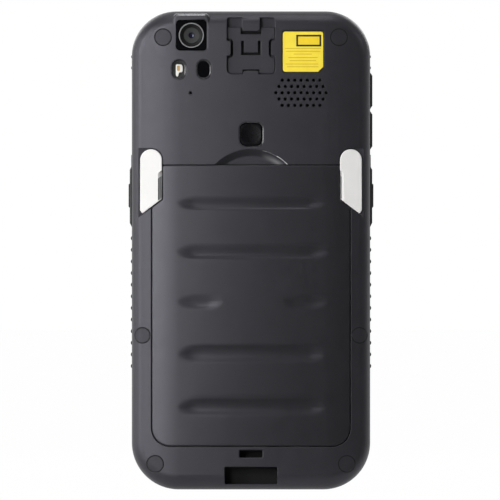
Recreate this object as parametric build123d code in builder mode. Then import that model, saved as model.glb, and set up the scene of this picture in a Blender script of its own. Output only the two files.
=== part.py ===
"""Handheld barcode terminal, standing on its lower end with its back towards -Y.

Millimetres. X runs across the body, Z up its length, Y from the back (-) to the screen (+).
The origin is the middle of the lower end, halfway through the thickness.
"""

from build123d import *
import math
import os

os.makedirs("parts", exist_ok=True)

# ---------------------------------------------------------------- driving dimensions
LENGTH, WIDTH, THICKNESS = 160.4, 80.0, 18.0
BACK, FRONT = -THICKNESS / 2, THICKNESS / 2
TOP_CORNER, BOTTOM_CORNER = 15.0, 15.7  # plan radii of the body's corners
CROWN_RADIUS, CROWN_HALF, SHOULDER_RADIUS = 300.0, 24.0, 70.0  # section of the back
BACK_EDGE, FRONT_EDGE = 5.0, 2.0  # rounding of the two outer edges
WALL = 1.6
PARTING = 6.0  # depth of the joint between the back housing and the front frame
SIDE = WIDTH / 2
FIT = 0.05  # gap between pieces that seat on each other
RUNNING = 0.04  # radial gap of a shaft in its bore

# battery cover, pack and well
COVER_HALF, COVER_LOW, COVER_HIGH, COVER_CORNER = 33.2, 14.6, 108.7, 6.0
NECK_HALF = 29.6  # half width of the cover between the two levers
COVER_DEPTH, COVER_GAP = 2.2, 0.3
LEDGE_DEPTH, RIM_GROW, RIM_FLOOR = 2.4, 2.8, -3.0
SHOULDER_HIGH, SHOULDER_LOW = 97.33, 94.59  # slanted shoulders under the levers
PACK_HALF, PACK_LOW, PACK_HIGH, PACK_FRONT = 27.8, 17.6, 106.2, 1.0
PACK_DRAFT = 0.8  # how much lower the pack's upper end is on its inner side
WELL_GAP, WELL_FLOOR, WELL_WALL = 0.45, 1.2, 1.2
SEAL_NEAR, SEAL_WIDTH, SEAL_TOP, SEAL_BASE = 0.4, 0.8, 2.3, 3.0
PLUG_HALF, PLUG_LOW, PLUG_HIGH, PLUG_BACK = 7.5, 17.9, 21.4, -0.9
# grip grooves: lower edge, upper edge, spans across, and the height of the deepest line
GROOVES = (
    (93.6, 98.8, ((-25.5, 25.5),), 94.9),
    (77.0, 82.9, ((-25.5, 27.0),), 78.6),
    (60.0, 66.2, ((-25.6, -8.6), (9.8, 26.6)), 62.0),
    (42.0, 48.6, ((-25.2, 25.7),), 46.0),
    (24.4, 30.6, ((-25.4, 26.0),), 28.0),
)
GROOVE_DEPTH, GROOVE_POINT = 0.6, 2.2
HOOK_X, HOOK_WIDTH, HOOK_DROP, HOOK_BACK, HOOK_FRONT = 16.0, 7.0, 1.4, -7.45, -6.4
HOOK_MIDDLE, HOOK_SLOT = -6.7, 2.15

# locking levers (drawn for the right-hand side, mirrored for the left)
PIVOT_X, PIVOT_Z, LEVER_ROUND = 33.5, 110.5, 3.65
LEVER_INNER, LEVER_OUTER, LEVER_TIP_X, LEVER_TIP_Z = 29.9, 37.2, 36.45, 92.5
LEVER_SLOPE = 0.76
LEVER_PROUD, LEVER_GAP, POCKET_FLOOR = 0.3, 0.35, -5.2
LEVER_RIM, LEVER_EDGE = -6.4, 0.35  # depth of its face at the outer edge, rounding of the face
SHAFT_RADIUS, SHAFT_END, POCKET_BASE = 1.5, -1.1, -2.1
CLIP_RADIUS, CLIP_BORE, CLIP_BACK, CLIP_FRONT = 2.4, 1.1, -2.0, -1.6
BEVEL_WIDTH, BEVEL_DROP, BEVEL_TOP, BEVEL_SLANT = 1.25, 1.3, 108.6, 40.0

# keys
SCAN_LOW, SCAN_HIGH, SCAN_PROUD, SCAN_TAIL = 88.0, 112.3, 0.7, 0.2
SCAN_RAMP, SCAN_NECK = 1.5, 108.7  # length of both ramps, and the lower end of the thin tail
PAD_LOW, PAD_HIGH, PAD_PROUD = 94.6, 102.6, 1.1
VOLUME_SPANS = ((127.6, 140.0), (114.0, 127.0))  # up key, down key
VOLUME_PROUD = 0.75
KEY_BACK, KEY_FRONT, KEY_GAP, KEY_BREAK = -0.4, 4.8, 0.15, 0.35
PAD_SEAT, PAD_MARGIN = 0.4, 0.7
STRIP_X, STRIP_BACK, STRIP_FRONT, SWITCH_TIP = 35.0, 0.0, 3.8, 37.0
FLANGE_OUT, FLANGE_THICK, FLANGE_LAP = 38.3, 0.7, 0.45
POWER_X, POWER_LENGTH, POWER_DEPTH, POWER_Y, POWER_TOP = 20.0, 9.0, 3.4, 1.0, LENGTH - 0.3
SWAP_Z, SWAP_SIDE, SWAP_CORNER, SWAP_SUNK, SWAP_TRAVEL = 119.1, 7.5, 1.9, 0.35, 0.4
SWAP_BASE, SWAP_FLANGE = -6.6, 0.7

# features of the back
CAMERA_X, CAMERA_Z, CAMERA_WINDOW = -20.0, 152.35, 10.2
CAMERA_BOSS_HALF, CAMERA_BOSS_LOW, CAMERA_BOSS_HIGH = 6.3, 146.2, 159.8
BOSS_CORNER, BOSS_EDGE, BOSS_DEPTH = 2.4, 0.9, 4.5
WINDOW_FACE, WINDOW_BACK = BACK + 1.15, BACK + 2.1
RING_OUTER, RING_INNER = 4.2, 3.85
FLASH_X, TOF_X, LAMP_Z, LAMP_WIDTH, LAMP_HEIGHT = -24.3, -15.9, 140.9, 5.0, 6.6
MIC_X, MIC_Z, MIC_RADIUS = -20.2, 133.0, 0.5
LABEL_X, LABEL_Z, LABEL_WIDTH, LABEL_HEIGHT, LABEL_DEPTH = 17.45, 146.9, 13.7, 13.9, 0.25
LABEL_CLIP, LABEL_GAP = 1.7, 0.22
RIM = 0.25  # broken outer edge of the recesses
SPEAKER_X, SPEAKER_Z, HOLE_PITCH, HOLE_RADIUS = 16.8, 133.05, 2.11, 0.55
HOLE_ROWS, HOLE_SIDES = (7, 8, 9, 8, 7), 12
SCOOP_Z, SCOOP_RADIUS, SCOOP_CURVE, SCOOP_DEPTH = 97.3, 16.9, 2.0, 1.7
SOCKET_HALF, SOCKET_LOW, SOCKET_HIGH, SOCKET_FLOOR = 8.1, 139.25, 158.3, BACK + 2.7
SOCKET_BACKING, TAB_CORNER, FOOT_CORNER = 1.3, 0.9, 0.7
PLATE_BACK, PLATE_TOP = BACK + 1.35, 154.95
TAB_Z, TAB_HEIGHT, TAB_REACH = 148.0, 5.0, 1.3
TONGUE_HALF, TONGUE_LOW, FOOT_HALF, FOOT_REACH = 2.9, 153.8, 2.5, 1.2
STRAP_LOW, STRAP_HIGH, STRAP_HALF, STRAP_FLOOR, STRAP_CORNER = 1.8, 7.6, 8.85, -3.6, 0.4
BAR_SLOT_LOW, BAR_SLOT_HIGH, BAR_SLOT_HALF, BAR_BACK = 10.7, 13.2, 3.85, BACK + 2.2
# screw positions, the radius of the rubber plug over each, and the depth its head seats at
SCREW_SPOTS = ((29.5, 151.7, 2.8, -3.4), (36.4, 51.7, 2.6, -1.6), (32.15, 8.6, 2.8, -3.4))
BOSS_END, POST_END, POST_RADIUS, BOSS_WALL = 0.4, 0.5, 1.9, 0.9
SCREW_RADIUS, HEAD_RADIUS, HEAD_HEIGHT, SCREW_END = 1.0, 1.9, 1.3, 4.4

# front
GLASS_HALF, GLASS_LOW, GLASS_HIGH, GLASS_CORNER = 36.6, 6.0, 154.4, 9.0
GLASS_BACK, GLASS_FRONT = 7.5, 8.6
SCREEN_HALF, SCREEN_LOW, SCREEN_HIGH = 34.8, 9.2, 146.4
OPENING_HALF, OPENING_LOW, OPENING_HIGH = 35.6, 7.6, 153.0
DISPLAY_BACK, DISPLAY_FRONT, LIP_DEPTH = 5.9, 7.4, 0.5
EARPIECE_Z, EARPIECE_WIDTH, EARPIECE_HEIGHT, EARPIECE_SLOT = 156.9, 13.0, 2.6, 1.1
FRONT_CAMERA_X, FRONT_CAMERA_Z, FRONT_CAMERA_RADIUS, STATUS_X = -14.0, 150.2, 2.6, 14.0
MIC_FRONT_X = 12.0
CHASSIS_BACK, CHASSIS_FRONT, CHASSIS_INSET = 5.0, 5.8, 3.5
BOARD_BACK, BOARD_FRONT, BOARD_HALF, BOARD_LOW, BOARD_HIGH = 2.8, 3.8, 33.0, 22.0, 156.0
# chips on the front of the board: centre x, centre z, width, height
CHIPS = ((-15, 124, 12, 12), (4, 126, 14, 9), (18, 100, 8, 14), (-18, 60, 10, 6), (10, 44, 16, 5))
SHIELD_HEIGHT = 3.4
PROCESSOR_SHIELD, RADIO_SHIELD = (-21.5, 117.5, 17.0, 14.0), (20.0, 116.5, 17.0, 13.0)
MOTOR_X, MOTOR_Z = 25.5, 143.0
LAMP_SEAT, FLASH_CUP, BRACKET_BACK = -6.1, 0.9, -4.2
FINGER_LOW, FINGER_TALL = 145.7, 4.8
POWER_TRAVEL = 0.4

# grips
GRIP_LOW, GRIP_HIGH, GRIP_BACK, GRIP_FRONT, GRIP_DEPTH = 38.4, 86.6, -0.8, 5.4, 0.8
RIB_COUNT, RIB_PITCH, RIB_FIRST, RIB_PROUD = 12, 3.9, 41.4, 0.35

# ends
SCAN_Y, SCAN_WIDTH, SCAN_HEIGHT, SCAN_BASE = -0.9, 27.0, 5.8, LENGTH - 1.3
USB_Y, USB_WIDTH, USB_HEIGHT = 1.15, 9.2, 3.2
DOCK_SPOTS, DOCK_WIDTH, DOCK_DEPTH = (-17.0, -13.0, 13.0, 17.0), 2.0, 3.0
NUB_HEIGHTS = (145.2, 141.5)


def facing_back(y):
    """Sketch plane at depth y: local axes are X and Z, and extrusions run towards the back."""
    return Plane.XZ.offset(-y)


def back_curve(inset):
    """Points of the crowned back section: middle, end of crown, mid and end of shoulder."""
    turn = math.asin(CROWN_HALF / CROWN_RADIUS)
    crown_y = BACK + CROWN_RADIUS
    hub_x = CROWN_HALF - SHOULDER_RADIUS * math.sin(turn)
    hub_y = crown_y - (CROWN_RADIUS - SHOULDER_RADIUS) * math.cos(turn)
    reach = SHOULDER_RADIUS - inset

    def at(angle):
        return (hub_x + reach * math.sin(angle), hub_y - reach * math.cos(angle))

    end = math.asin((SIDE + 8 - hub_x) / SHOULDER_RADIUS)
    return (0, BACK + inset), at(turn), at((turn + end) / 2), at(end)


def back_depth(x, inset=0.0):
    """Depth of the back surface at x, away from the rounded edges."""
    turn = math.asin(CROWN_HALF / CROWN_RADIUS)
    if abs(x) <= CROWN_HALF:
        return BACK + CROWN_RADIUS - math.sqrt((CROWN_RADIUS - inset) ** 2 - x * x)
    hub_x = CROWN_HALF - SHOULDER_RADIUS * math.sin(turn)
    hub_y = BACK + CROWN_RADIUS - (CROWN_RADIUS - SHOULDER_RADIUS) * math.cos(turn)
    return hub_y - math.sqrt((SHOULDER_RADIUS - inset) ** 2 - (abs(x) - hub_x) ** 2)


def body_form(inset):
    """Outer form of the whole terminal, shrunk by inset (or grown, when it is negative)."""
    middle, join, mid, end = back_curve(inset)
    with BuildPart() as form:
        with BuildSketch(Plane.XZ) as plan:
            with Locations((0, inset)):
                Rectangle(WIDTH - 2 * inset, LENGTH - 2 * inset, align=(Align.CENTER, Align.MIN))
            fillet(plan.vertices().group_by(Axis.Y)[-1], TOP_CORNER - inset)
            fillet(plan.vertices().group_by(Axis.Y)[0], BOTTOM_CORNER - inset)
        extrude(amount=THICKNESS, both=True)
        with BuildSketch(Plane.XY.offset(-5)):
            with BuildLine():
                ThreePointArc((-join[0], join[1]), middle, join)
                ThreePointArc(join, mid, end)
                Polyline(end, (end[0], FRONT - inset), (-end[0], FRONT - inset), (-end[0], end[1]))
                ThreePointArc((-end[0], end[1]), (-mid[0], mid[1]), (-join[0], join[1]))
            make_face()
        extrude(amount=LENGTH + 10, mode=Mode.INTERSECT)
        across = form.edges().filter_by(Axis.Y, reverse=True)
        rim = across.filter_by(lambda e: not (abs(abs(e.center().X) - join[0]) < 1 and e.length > 100))
        fillet(rim.filter_by(lambda e: e.center().Y < 0), max(BACK_EDGE - inset, 0.8))
        across = form.edges().filter_by(Axis.Y, reverse=True)
        fillet(
            across.filter_by(lambda e: abs(e.center().Y - (FRONT - inset)) < 1e-3),
            max(FRONT_EDGE - inset, 0.3),
        )
    return form.part


outer_form = body_form(0.0)
inner_form = body_form(WALL)
cover_inner_form = body_form(COVER_DEPTH)
ledge_form = body_form(LEDGE_DEPTH)
label_form = body_form(LABEL_DEPTH)
seal_top_form = body_form(SEAL_TOP)
seal_base_form = body_form(SEAL_BASE)


def finish(piece, name):
    """Labels a finished piece and writes it as its own STEP file."""
    piece.label = name
    export_step(piece, f"parts/{name}.step")
    return piece


def cover_outline(gap, y):
    """Outline of the battery cover grown by gap: wide below, with a neck between the levers."""
    half, neck = COVER_HALF + gap, NECK_HALF + gap
    with BuildSketch(facing_back(y)) as outline:
        with BuildLine():
            Polyline(
                (-neck, COVER_HIGH + gap),
                (neck, COVER_HIGH + gap),
                (neck, SHOULDER_HIGH + gap / 2),
                (half, SHOULDER_LOW + gap / 2),
                (half, COVER_LOW - gap),
                (-half, COVER_LOW - gap),
                (-half, SHOULDER_LOW + gap / 2),
                (-neck, SHOULDER_HIGH + gap / 2),
                close=True,
            )
        make_face()
        fillet(outline.vertices().group_by(Axis.Y)[0], COVER_CORNER + gap)
        fillet(outline.vertices().group_by(Axis.Y)[-1], 0.6)
    return outline.sketch


def lever_outline(y):
    """Outline of the right-hand lever: a round end over the pivot and a slanted foot."""
    inner, outer = PIVOT_X - LEVER_ROUND, PIVOT_X + LEVER_ROUND
    foot_high = LEVER_TIP_Z + (LEVER_TIP_X - LEVER_INNER) * LEVER_SLOPE
    with BuildSketch(facing_back(y)) as outline:
        with BuildLine():
            ThreePointArc((inner, PIVOT_Z), (PIVOT_X, PIVOT_Z + LEVER_ROUND), (outer, PIVOT_Z))
            Polyline(
                (outer, PIVOT_Z),
                (LEVER_OUTER, LEVER_TIP_Z + 1.2),
                (LEVER_TIP_X, LEVER_TIP_Z),
                (LEVER_INNER, foot_high),
                (inner, PIVOT_Z),
            )
        make_face()
    return outline.sketch


def pocket_outline(y, grow):
    """Recess of the right-hand lever: round above the pivot, open towards the side."""
    inner, top, out = PIVOT_X - LEVER_ROUND - grow, PIVOT_Z + LEVER_ROUND + grow, SIDE + 3
    with BuildSketch(facing_back(y)) as outline:
        with BuildLine():
            lean = math.sqrt(0.5) * (LEVER_ROUND + grow)
            ThreePointArc((inner, PIVOT_Z), (PIVOT_X - lean, PIVOT_Z + lean), (PIVOT_X, top))
            Polyline(
                (PIVOT_X, top),
                (out, top),
                (out, LEVER_TIP_Z - (out - LEVER_TIP_X) * LEVER_SLOPE - grow),
                (inner, LEVER_TIP_Z + (LEVER_TIP_X - inner) * LEVER_SLOPE - grow),
                (inner, PIVOT_Z),
            )
        make_face()
    return outline.sketch


def both_sides(shape):
    """A shape together with its mirror image across the middle."""
    return [shape, mirror(shape, about=Plane.YZ)]


def rounded_block(size, centre, radius, axis):
    """Block of three sizes about a centre, its edges along one axis rounded."""
    with BuildPart() as block:
        with Locations(centre):
            Box(*size)
        fillet(block.edges().filter_by(axis), radius)
    return block.part


def rod(x, z, radius, back, front):
    """Cylinder along Y at (x, z) between two depths."""
    with BuildPart() as bar:
        with BuildSketch(facing_back(front)):
            with Locations((x, z)):
                Circle(radius)
        extrude(amount=front - back)
    return bar.part


def plan_slab(inset, back, front):
    """Slab with the plan outline of the body, shrunk by inset, between two depths."""
    with BuildPart() as slab:
        with BuildSketch(facing_back(front)) as plan:
            with Locations((0, inset)):
                Rectangle(WIDTH - 2 * inset, LENGTH - 2 * inset, align=(Align.CENTER, Align.MIN))
            fillet(plan.vertices().group_by(Axis.Y)[-1], TOP_CORNER - inset)
            fillet(plan.vertices().group_by(Axis.Y)[0], BOTTOM_CORNER - inset)
        extrude(amount=front - back)
    return slab.part


def outside_section(z):
    """Everything behind the crowned back, as a section across the body at height z."""
    middle, join, mid, end = back_curve(0)
    far = -THICKNESS
    with BuildSketch(Plane.XY.offset(z)) as section:
        with BuildLine():
            ThreePointArc((-join[0], join[1]), middle, join)
            ThreePointArc(join, mid, end)
            Polyline(end, (end[0], far), (-end[0], far), (-end[0], end[1]))
            ThreePointArc((-end[0], end[1]), (-mid[0], mid[1]), (-join[0], join[1]))
        make_face()
    return section.sketch


# ---------------------------------------------------------------- back housing
def housing_backing():
    """Local thickening behind every recess, trimmed to the outer form."""
    with BuildPart() as backing:
        add(extrude(cover_outline(RIM_GROW, RIM_FLOOR), amount=THICKNESS))
        well_half, well_low, well_high = well_bounds(WELL_GAP + WELL_WALL)
        with Locations((0, (PACK_FRONT + WELL_GAP + WELL_FLOOR - THICKNESS) / 2, (well_low + well_high) / 2)):
            Box(2 * well_half, PACK_FRONT + WELL_GAP + WELL_FLOOR + THICKNESS, well_high - well_low)
        for pocket in both_sides(extrude(pocket_outline(POCKET_BASE, 1.5), amount=THICKNESS)):
            add(pocket)
        with BuildSketch(facing_back(BACK + SCOOP_DEPTH + 1.5)):
            with Locations((0, SCOOP_Z)):
                Circle(SCOOP_RADIUS)
        extrude(amount=THICKNESS)
        with BuildSketch(facing_back(SOCKET_FLOOR + SOCKET_BACKING)):
            with Locations((0, SOCKET_LOW - 0.9)):
                Rectangle(2 * SOCKET_HALF + 2.2, LENGTH, align=(Align.CENTER, Align.MIN))
        extrude(amount=THICKNESS)
        with BuildSketch(facing_back(STRAP_FLOOR + 1.4)):
            Rectangle(2 * STRAP_HALF + 3, BAR_SLOT_HIGH + 1.3, align=(Align.CENTER, Align.MIN))
        extrude(amount=THICKNESS)
        with BuildSketch(facing_back(BOSS_END)):
            for x, z, radius, seat in SCREW_SPOTS:
                with Locations((x, z), (-x, z)):
                    Circle(radius + BOSS_WALL)
        extrude(amount=THICKNESS)
        add(outer_form, mode=Mode.INTERSECT)
    return backing.part


def well_bounds(grow):
    """Half width, lower and upper end of the battery well, grown from the pack itself."""
    return PACK_HALF + grow, PACK_LOW - grow, PACK_HIGH + grow


def camera_boss():
    """Frame of the camera: the crown carried on past the rolled edge, with a rounded brow."""
    width, height = 2 * CAMERA_BOSS_HALF, CAMERA_BOSS_HIGH - CAMERA_BOSS_LOW
    with BuildPart() as boss:
        with BuildSketch(facing_back(BACK + BOSS_DEPTH)):
            with Locations((CAMERA_X, CAMERA_BOSS_LOW + height / 2)):
                RectangleRounded(width, height, BOSS_CORNER)
        extrude(amount=BOSS_DEPTH + 1)
        add(extrude(outside_section(CAMERA_BOSS_LOW - 1), amount=height + 2), mode=Mode.SUBTRACT)
        brow = boss.edges().filter_by(lambda e: e.center().Y < BACK + 2 and e.center().Z > CAMERA_BOSS_LOW + 1)
        fillet(brow.filter_by(lambda e: abs(e.center().X + CROWN_HALF) > 0.2), BOSS_EDGE)
    return boss.part


def seal_ring(y, slack, height):
    """Square ring that runs round the mouth of the well."""
    half, low, high = well_bounds(WELL_GAP + SEAL_NEAR)
    with BuildPart() as ring:
        with BuildSketch(facing_back(y)):
            with Locations((0, (low + high) / 2)):
                RectangleRounded(
                    2 * (half + SEAL_WIDTH + slack), high - low + 2 * (SEAL_WIDTH + slack), 1.5
                )
                RectangleRounded(2 * (half - slack), high - low - 2 * slack, 0.8, mode=Mode.SUBTRACT)
        extrude(amount=height)
    return ring.part


def battery_cuts():
    """Everything the battery needs removed from the housing: recess, well, seal groove, hooks."""
    half, low, high = well_bounds(WELL_GAP)
    depth = PACK_FRONT + WELL_GAP
    with BuildPart() as cut:
        add(extrude(cover_outline(COVER_GAP, 0), amount=THICKNESS))
        add(ledge_form, mode=Mode.SUBTRACT)
        with Locations((0, depth - THICKNESS / 2, (low + high) / 2)):
            Box(2 * half, THICKNESS, high - low)
        with Locations((HOOK_X, HOOK_MIDDLE, COVER_LOW), (-HOOK_X, HOOK_MIDDLE, COVER_LOW)):
            Box(HOOK_WIDTH + 0.8, HOOK_SLOT, 2 * HOOK_DROP + 0.6)
    return cut.part


def key_slot(side, low, high, radius):
    """Opening through the side wall for a key that spans low to high."""
    height, depth = high - low + 2 * KEY_GAP, KEY_FRONT - KEY_BACK + 2 * KEY_GAP
    centre = (side * SIDE, (KEY_BACK + KEY_FRONT) / 2, (low + high) / 2)
    return rounded_block((6, depth, height), centre, radius, Axis.X)


def speaker_holes(y, depth):
    """The staggered field of sound holes."""
    with BuildPart() as holes:
        with BuildSketch(facing_back(y)):
            for row, count in enumerate(HOLE_ROWS):
                with Locations((SPEAKER_X, SPEAKER_Z + (row - 2) * HOLE_PITCH)):
                    with GridLocations(HOLE_PITCH, 1, count, 1):
                        RegularPolygon(HOLE_RADIUS, HOLE_SIDES)
        extrude(amount=depth)
    return holes.part


def finger_dish():
    """Shallow round dish above the battery, its wall curving into a flat floor."""
    floor, wall = BACK + SCOOP_DEPTH, SCOOP_RADIUS - RIM
    with BuildPart() as dish:
        with BuildSketch(Plane.XY.offset(SCOOP_Z)) as section:
            Polygon((0, BACK - 2), (0, floor), (wall, floor), (SCOOP_RADIUS + RIM, BACK - 2), align=None)
            fillet(section.vertices().filter_by(lambda v: v.X > 1 and v.Y > floor - 0.1), SCOOP_CURVE)
        revolve(axis=Axis((0, 0, SCOOP_Z), (0, 1, 0)))
    return dish.part


def socket_cuts():
    """Stepped hand-strap socket with side tabs, a lower tab and a tongue left standing."""
    height = SOCKET_HIGH - SOCKET_LOW
    with BuildPart() as cut:
        with BuildSketch(facing_back(SOCKET_FLOOR)) as plan:
            with Locations((0, SOCKET_LOW)):
                Rectangle(2 * SOCKET_HALF, height, align=(Align.CENTER, Align.MIN))
            fillet(plan.vertices().group_by(Axis.Y)[0], 1.7)
            fillet(plan.vertices().group_by(Axis.Y)[-1], 0.8)
            with Locations((SOCKET_HALF, TAB_Z), (-SOCKET_HALF, TAB_Z)):
                RectangleRounded(2 * TAB_REACH, TAB_HEIGHT, TAB_CORNER, mode=Mode.SUBTRACT)
            with Locations((0, SOCKET_LOW)):
                RectangleRounded(2 * FOOT_HALF, 2 * FOOT_REACH, FOOT_CORNER, mode=Mode.SUBTRACT)
            with Locations((0, (TONGUE_LOW + SOCKET_HIGH + 1) / 2)):
                tall = SOCKET_HIGH + 1 - TONGUE_LOW
                RectangleRounded(2 * TONGUE_HALF, tall, FOOT_CORNER, mode=Mode.SUBTRACT)
        extrude(amount=THICKNESS)
    return cut.part


def strap_bar_cuts():
    """Lower strap anchor: a large pocket, a small slot, and a tunnel behind the bar between."""
    with BuildPart() as cut:
        with BuildSketch(facing_back(STRAP_FLOOR)):
            with Locations((0, (STRAP_LOW + STRAP_HIGH) / 2)):
                RectangleRounded(2 * STRAP_HALF, STRAP_HIGH - STRAP_LOW, STRAP_CORNER)
            with Locations((0, (BAR_SLOT_LOW + BAR_SLOT_HIGH) / 2)):
                RectangleRounded(2 * BAR_SLOT_HALF, BAR_SLOT_HIGH - BAR_SLOT_LOW, STRAP_CORNER)
        extrude(amount=THICKNESS)
        with Locations((0, (BAR_BACK + STRAP_FLOOR) / 2, (STRAP_HIGH + BAR_SLOT_LOW) / 2)):
            Box(2 * BAR_SLOT_HALF, STRAP_FLOOR - BAR_BACK, BAR_SLOT_LOW - STRAP_HIGH + 2)
    return cut.part


def broken_rim(width, height, x, z, radius, reach):
    """Cut with sides at 45 degrees that breaks the outer edge of a recess centred at x, z."""
    with BuildPart() as cut:
        with BuildSketch(facing_back(back_depth(x) + reach)):
            with Locations((x, z)):
                RectangleRounded(width, height, radius)
        extrude(amount=reach + 1, taper=-45)
    return cut.part


def grip_recess(side, slack):
    """Shallow bay in the side wall that takes a rubber grip."""
    size = (2 * GRIP_DEPTH, GRIP_FRONT - GRIP_BACK + 2 * slack, GRIP_HIGH - GRIP_LOW + 2 * slack)
    centre = (side * SIDE, (GRIP_BACK + GRIP_FRONT) / 2, (GRIP_LOW + GRIP_HIGH) / 2)
    return rounded_block(size, centre, 1.6, Axis.X)


def upright_slot(width, depth, x, y, low, high, radius):
    """Rounded opening that runs along Z, for the two ends of the body."""
    return rounded_block((width, depth, high - low), (x, y, (low + high) / 2), radius, Axis.Z)


def build_rear_housing():
    with BuildPart() as housing:
        add(outer_form)
        add(inner_form, mode=Mode.SUBTRACT)
        add(housing_backing())
        add(camera_boss())
        # battery, levers and the dish above the cover
        add(battery_cuts(), mode=Mode.SUBTRACT)
        groove = seal_ring(0, FIT, THICKNESS)
        with BuildPart(mode=Mode.PRIVATE) as seal_groove:
            add(groove)
            add(seal_base_form, mode=Mode.SUBTRACT)
        add(seal_groove.part, mode=Mode.SUBTRACT)
        for shape in both_sides(extrude(pocket_outline(POCKET_FLOOR, LEVER_GAP), amount=THICKNESS)):
            add(shape, mode=Mode.SUBTRACT)
        for side in (-1, 1):
            bore = rod(side * PIVOT_X, PIVOT_Z, SHAFT_RADIUS + RUNNING, BACK, BOSS_END)
            add(bore, mode=Mode.SUBTRACT)
        add(finger_dish(), mode=Mode.SUBTRACT)
        # camera window, lamp windows, label, sound holes
        window = CAMERA_WINDOW + 2 * FIT
        pockets = [
            (window, window, CAMERA_X, CAMERA_Z, 1.3, WINDOW_BACK),
            (8.8, 8.8, CAMERA_X, CAMERA_Z, 1.0, BOSS_END),
        ]
        for x in (FLASH_X, TOF_X):
            pockets.append((LAMP_WIDTH, LAMP_HEIGHT, x, LAMP_Z, LAMP_WIDTH / 2 - 0.05, BOSS_END))
        for width, height, x, z, radius, floor in pockets:
            with BuildSketch(facing_back(floor)):
                with Locations((x, z)):
                    RectangleRounded(width, height, radius)
            extrude(amount=THICKNESS, mode=Mode.SUBTRACT)
        strap_z, slot_z = (STRAP_LOW + STRAP_HIGH) / 2, (BAR_SLOT_LOW + BAR_SLOT_HIGH) / 2
        swap_open = SWAP_SIDE + 0.6
        rims = [
            (window, window, CAMERA_X, CAMERA_Z, 1.3, 0.1),
            (LAMP_WIDTH, LAMP_HEIGHT, FLASH_X, LAMP_Z, LAMP_WIDTH / 2 - 0.05, 0.15),
            (LAMP_WIDTH, LAMP_HEIGHT, TOF_X, LAMP_Z, LAMP_WIDTH / 2 - 0.05, 0.15),
            (swap_open, swap_open, 0, SWAP_Z, SWAP_CORNER + 0.3, RIM),
            (2 * STRAP_HALF, STRAP_HIGH - STRAP_LOW, 0, strap_z, STRAP_CORNER, RIM),
            (2 * BAR_SLOT_HALF, BAR_SLOT_HIGH - BAR_SLOT_LOW, 0, slot_z, STRAP_CORNER, RIM),
        ]
        for shape in rims:
            add(broken_rim(*shape), mode=Mode.SUBTRACT)
        add(rod(MIC_X, MIC_Z, MIC_RADIUS, -THICKNESS, -5), mode=Mode.SUBTRACT)
        add(speaker_holes(-6, 6), mode=Mode.SUBTRACT)
        with BuildPart(mode=Mode.PRIVATE) as label_bay:
            add(label_slab(LABEL_GAP))
            add(label_form, mode=Mode.SUBTRACT)
        add(label_bay.part, mode=Mode.SUBTRACT)
        # swap key, strap anchors
        with BuildSketch(facing_back(-5)):
            with Locations((0, SWAP_Z)):
                RectangleRounded(SWAP_SIDE + 0.6, SWAP_SIDE + 0.6, SWAP_CORNER + 0.3)
        extrude(amount=THICKNESS, mode=Mode.SUBTRACT)
        add(socket_cuts(), mode=Mode.SUBTRACT)
        add(strap_bar_cuts(), mode=Mode.SUBTRACT)
        # screw bosses
        for x, z, radius, seat in SCREW_SPOTS:
            for place in (x, -x):
                add(rod(place, z, radius + FIT, -THICKNESS, seat), mode=Mode.SUBTRACT)
                add(rod(place, z, SCREW_RADIUS + 0.15, seat - 1, BOSS_END + 1), mode=Mode.SUBTRACT)
        # side keys and grips
        for side in (-1, 1):
            add(key_slot(side, SCAN_LOW, SCAN_HIGH, 2.0), mode=Mode.SUBTRACT)
            add(grip_recess(side, FIT), mode=Mode.SUBTRACT)
        add(key_slot(1, VOLUME_SPANS[1][0], VOLUME_SPANS[0][1], 1.6), mode=Mode.SUBTRACT)
        # ends
        width, depth = SCAN_WIDTH + 2 * FIT, SCAN_HEIGHT + 2 * FIT
        add(upright_slot(width, depth, 0, SCAN_Y, SCAN_BASE, LENGTH + 1, 2.4), mode=Mode.SUBTRACT)
        width, depth = SCAN_WIDTH - 2.4, SCAN_HEIGHT - 2.0
        add(upright_slot(width, depth, 0, SCAN_Y, LENGTH - 4, LENGTH, 1.6), mode=Mode.SUBTRACT)
        width, depth = POWER_LENGTH + 2 * KEY_GAP, POWER_DEPTH + 2 * KEY_GAP
        add(
            upright_slot(width, depth, POWER_X, POWER_Y, LENGTH - 4, LENGTH + 1, 1.6),
            mode=Mode.SUBTRACT,
        )
        width, depth = USB_WIDTH + 2 * FIT, USB_HEIGHT + 2 * FIT
        add(upright_slot(width, depth, 0, USB_Y, -1, 3, 1.55), mode=Mode.SUBTRACT)
        for x in DOCK_SPOTS:
            slot = upright_slot(DOCK_WIDTH + 2 * FIT, DOCK_DEPTH + 2 * FIT, x, USB_Y, -1, 3, 0.4)
            add(slot, mode=Mode.SUBTRACT)
        # small side nubs above the keys, then the joint line with the front frame
        for side in (-1, 1):
            for z in NUB_HEIGHTS:
                with Locations(Location((side * (SIDE + 0.25 - 0.7), 2.2, z), (90, 0, 0))):
                    Cylinder(0.7, 4.0)
        add(plan_slab(-1, PARTING, FRONT + 1), mode=Mode.SUBTRACT)
        with BuildPart(mode=Mode.PRIVATE) as joint_line:
            add(plan_slab(-1, PARTING - 0.3, PARTING))
            add(plan_slab(0.35, PARTING - 0.3, PARTING), mode=Mode.SUBTRACT)
        add(joint_line.part, mode=Mode.SUBTRACT)
    return housing.part


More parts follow.
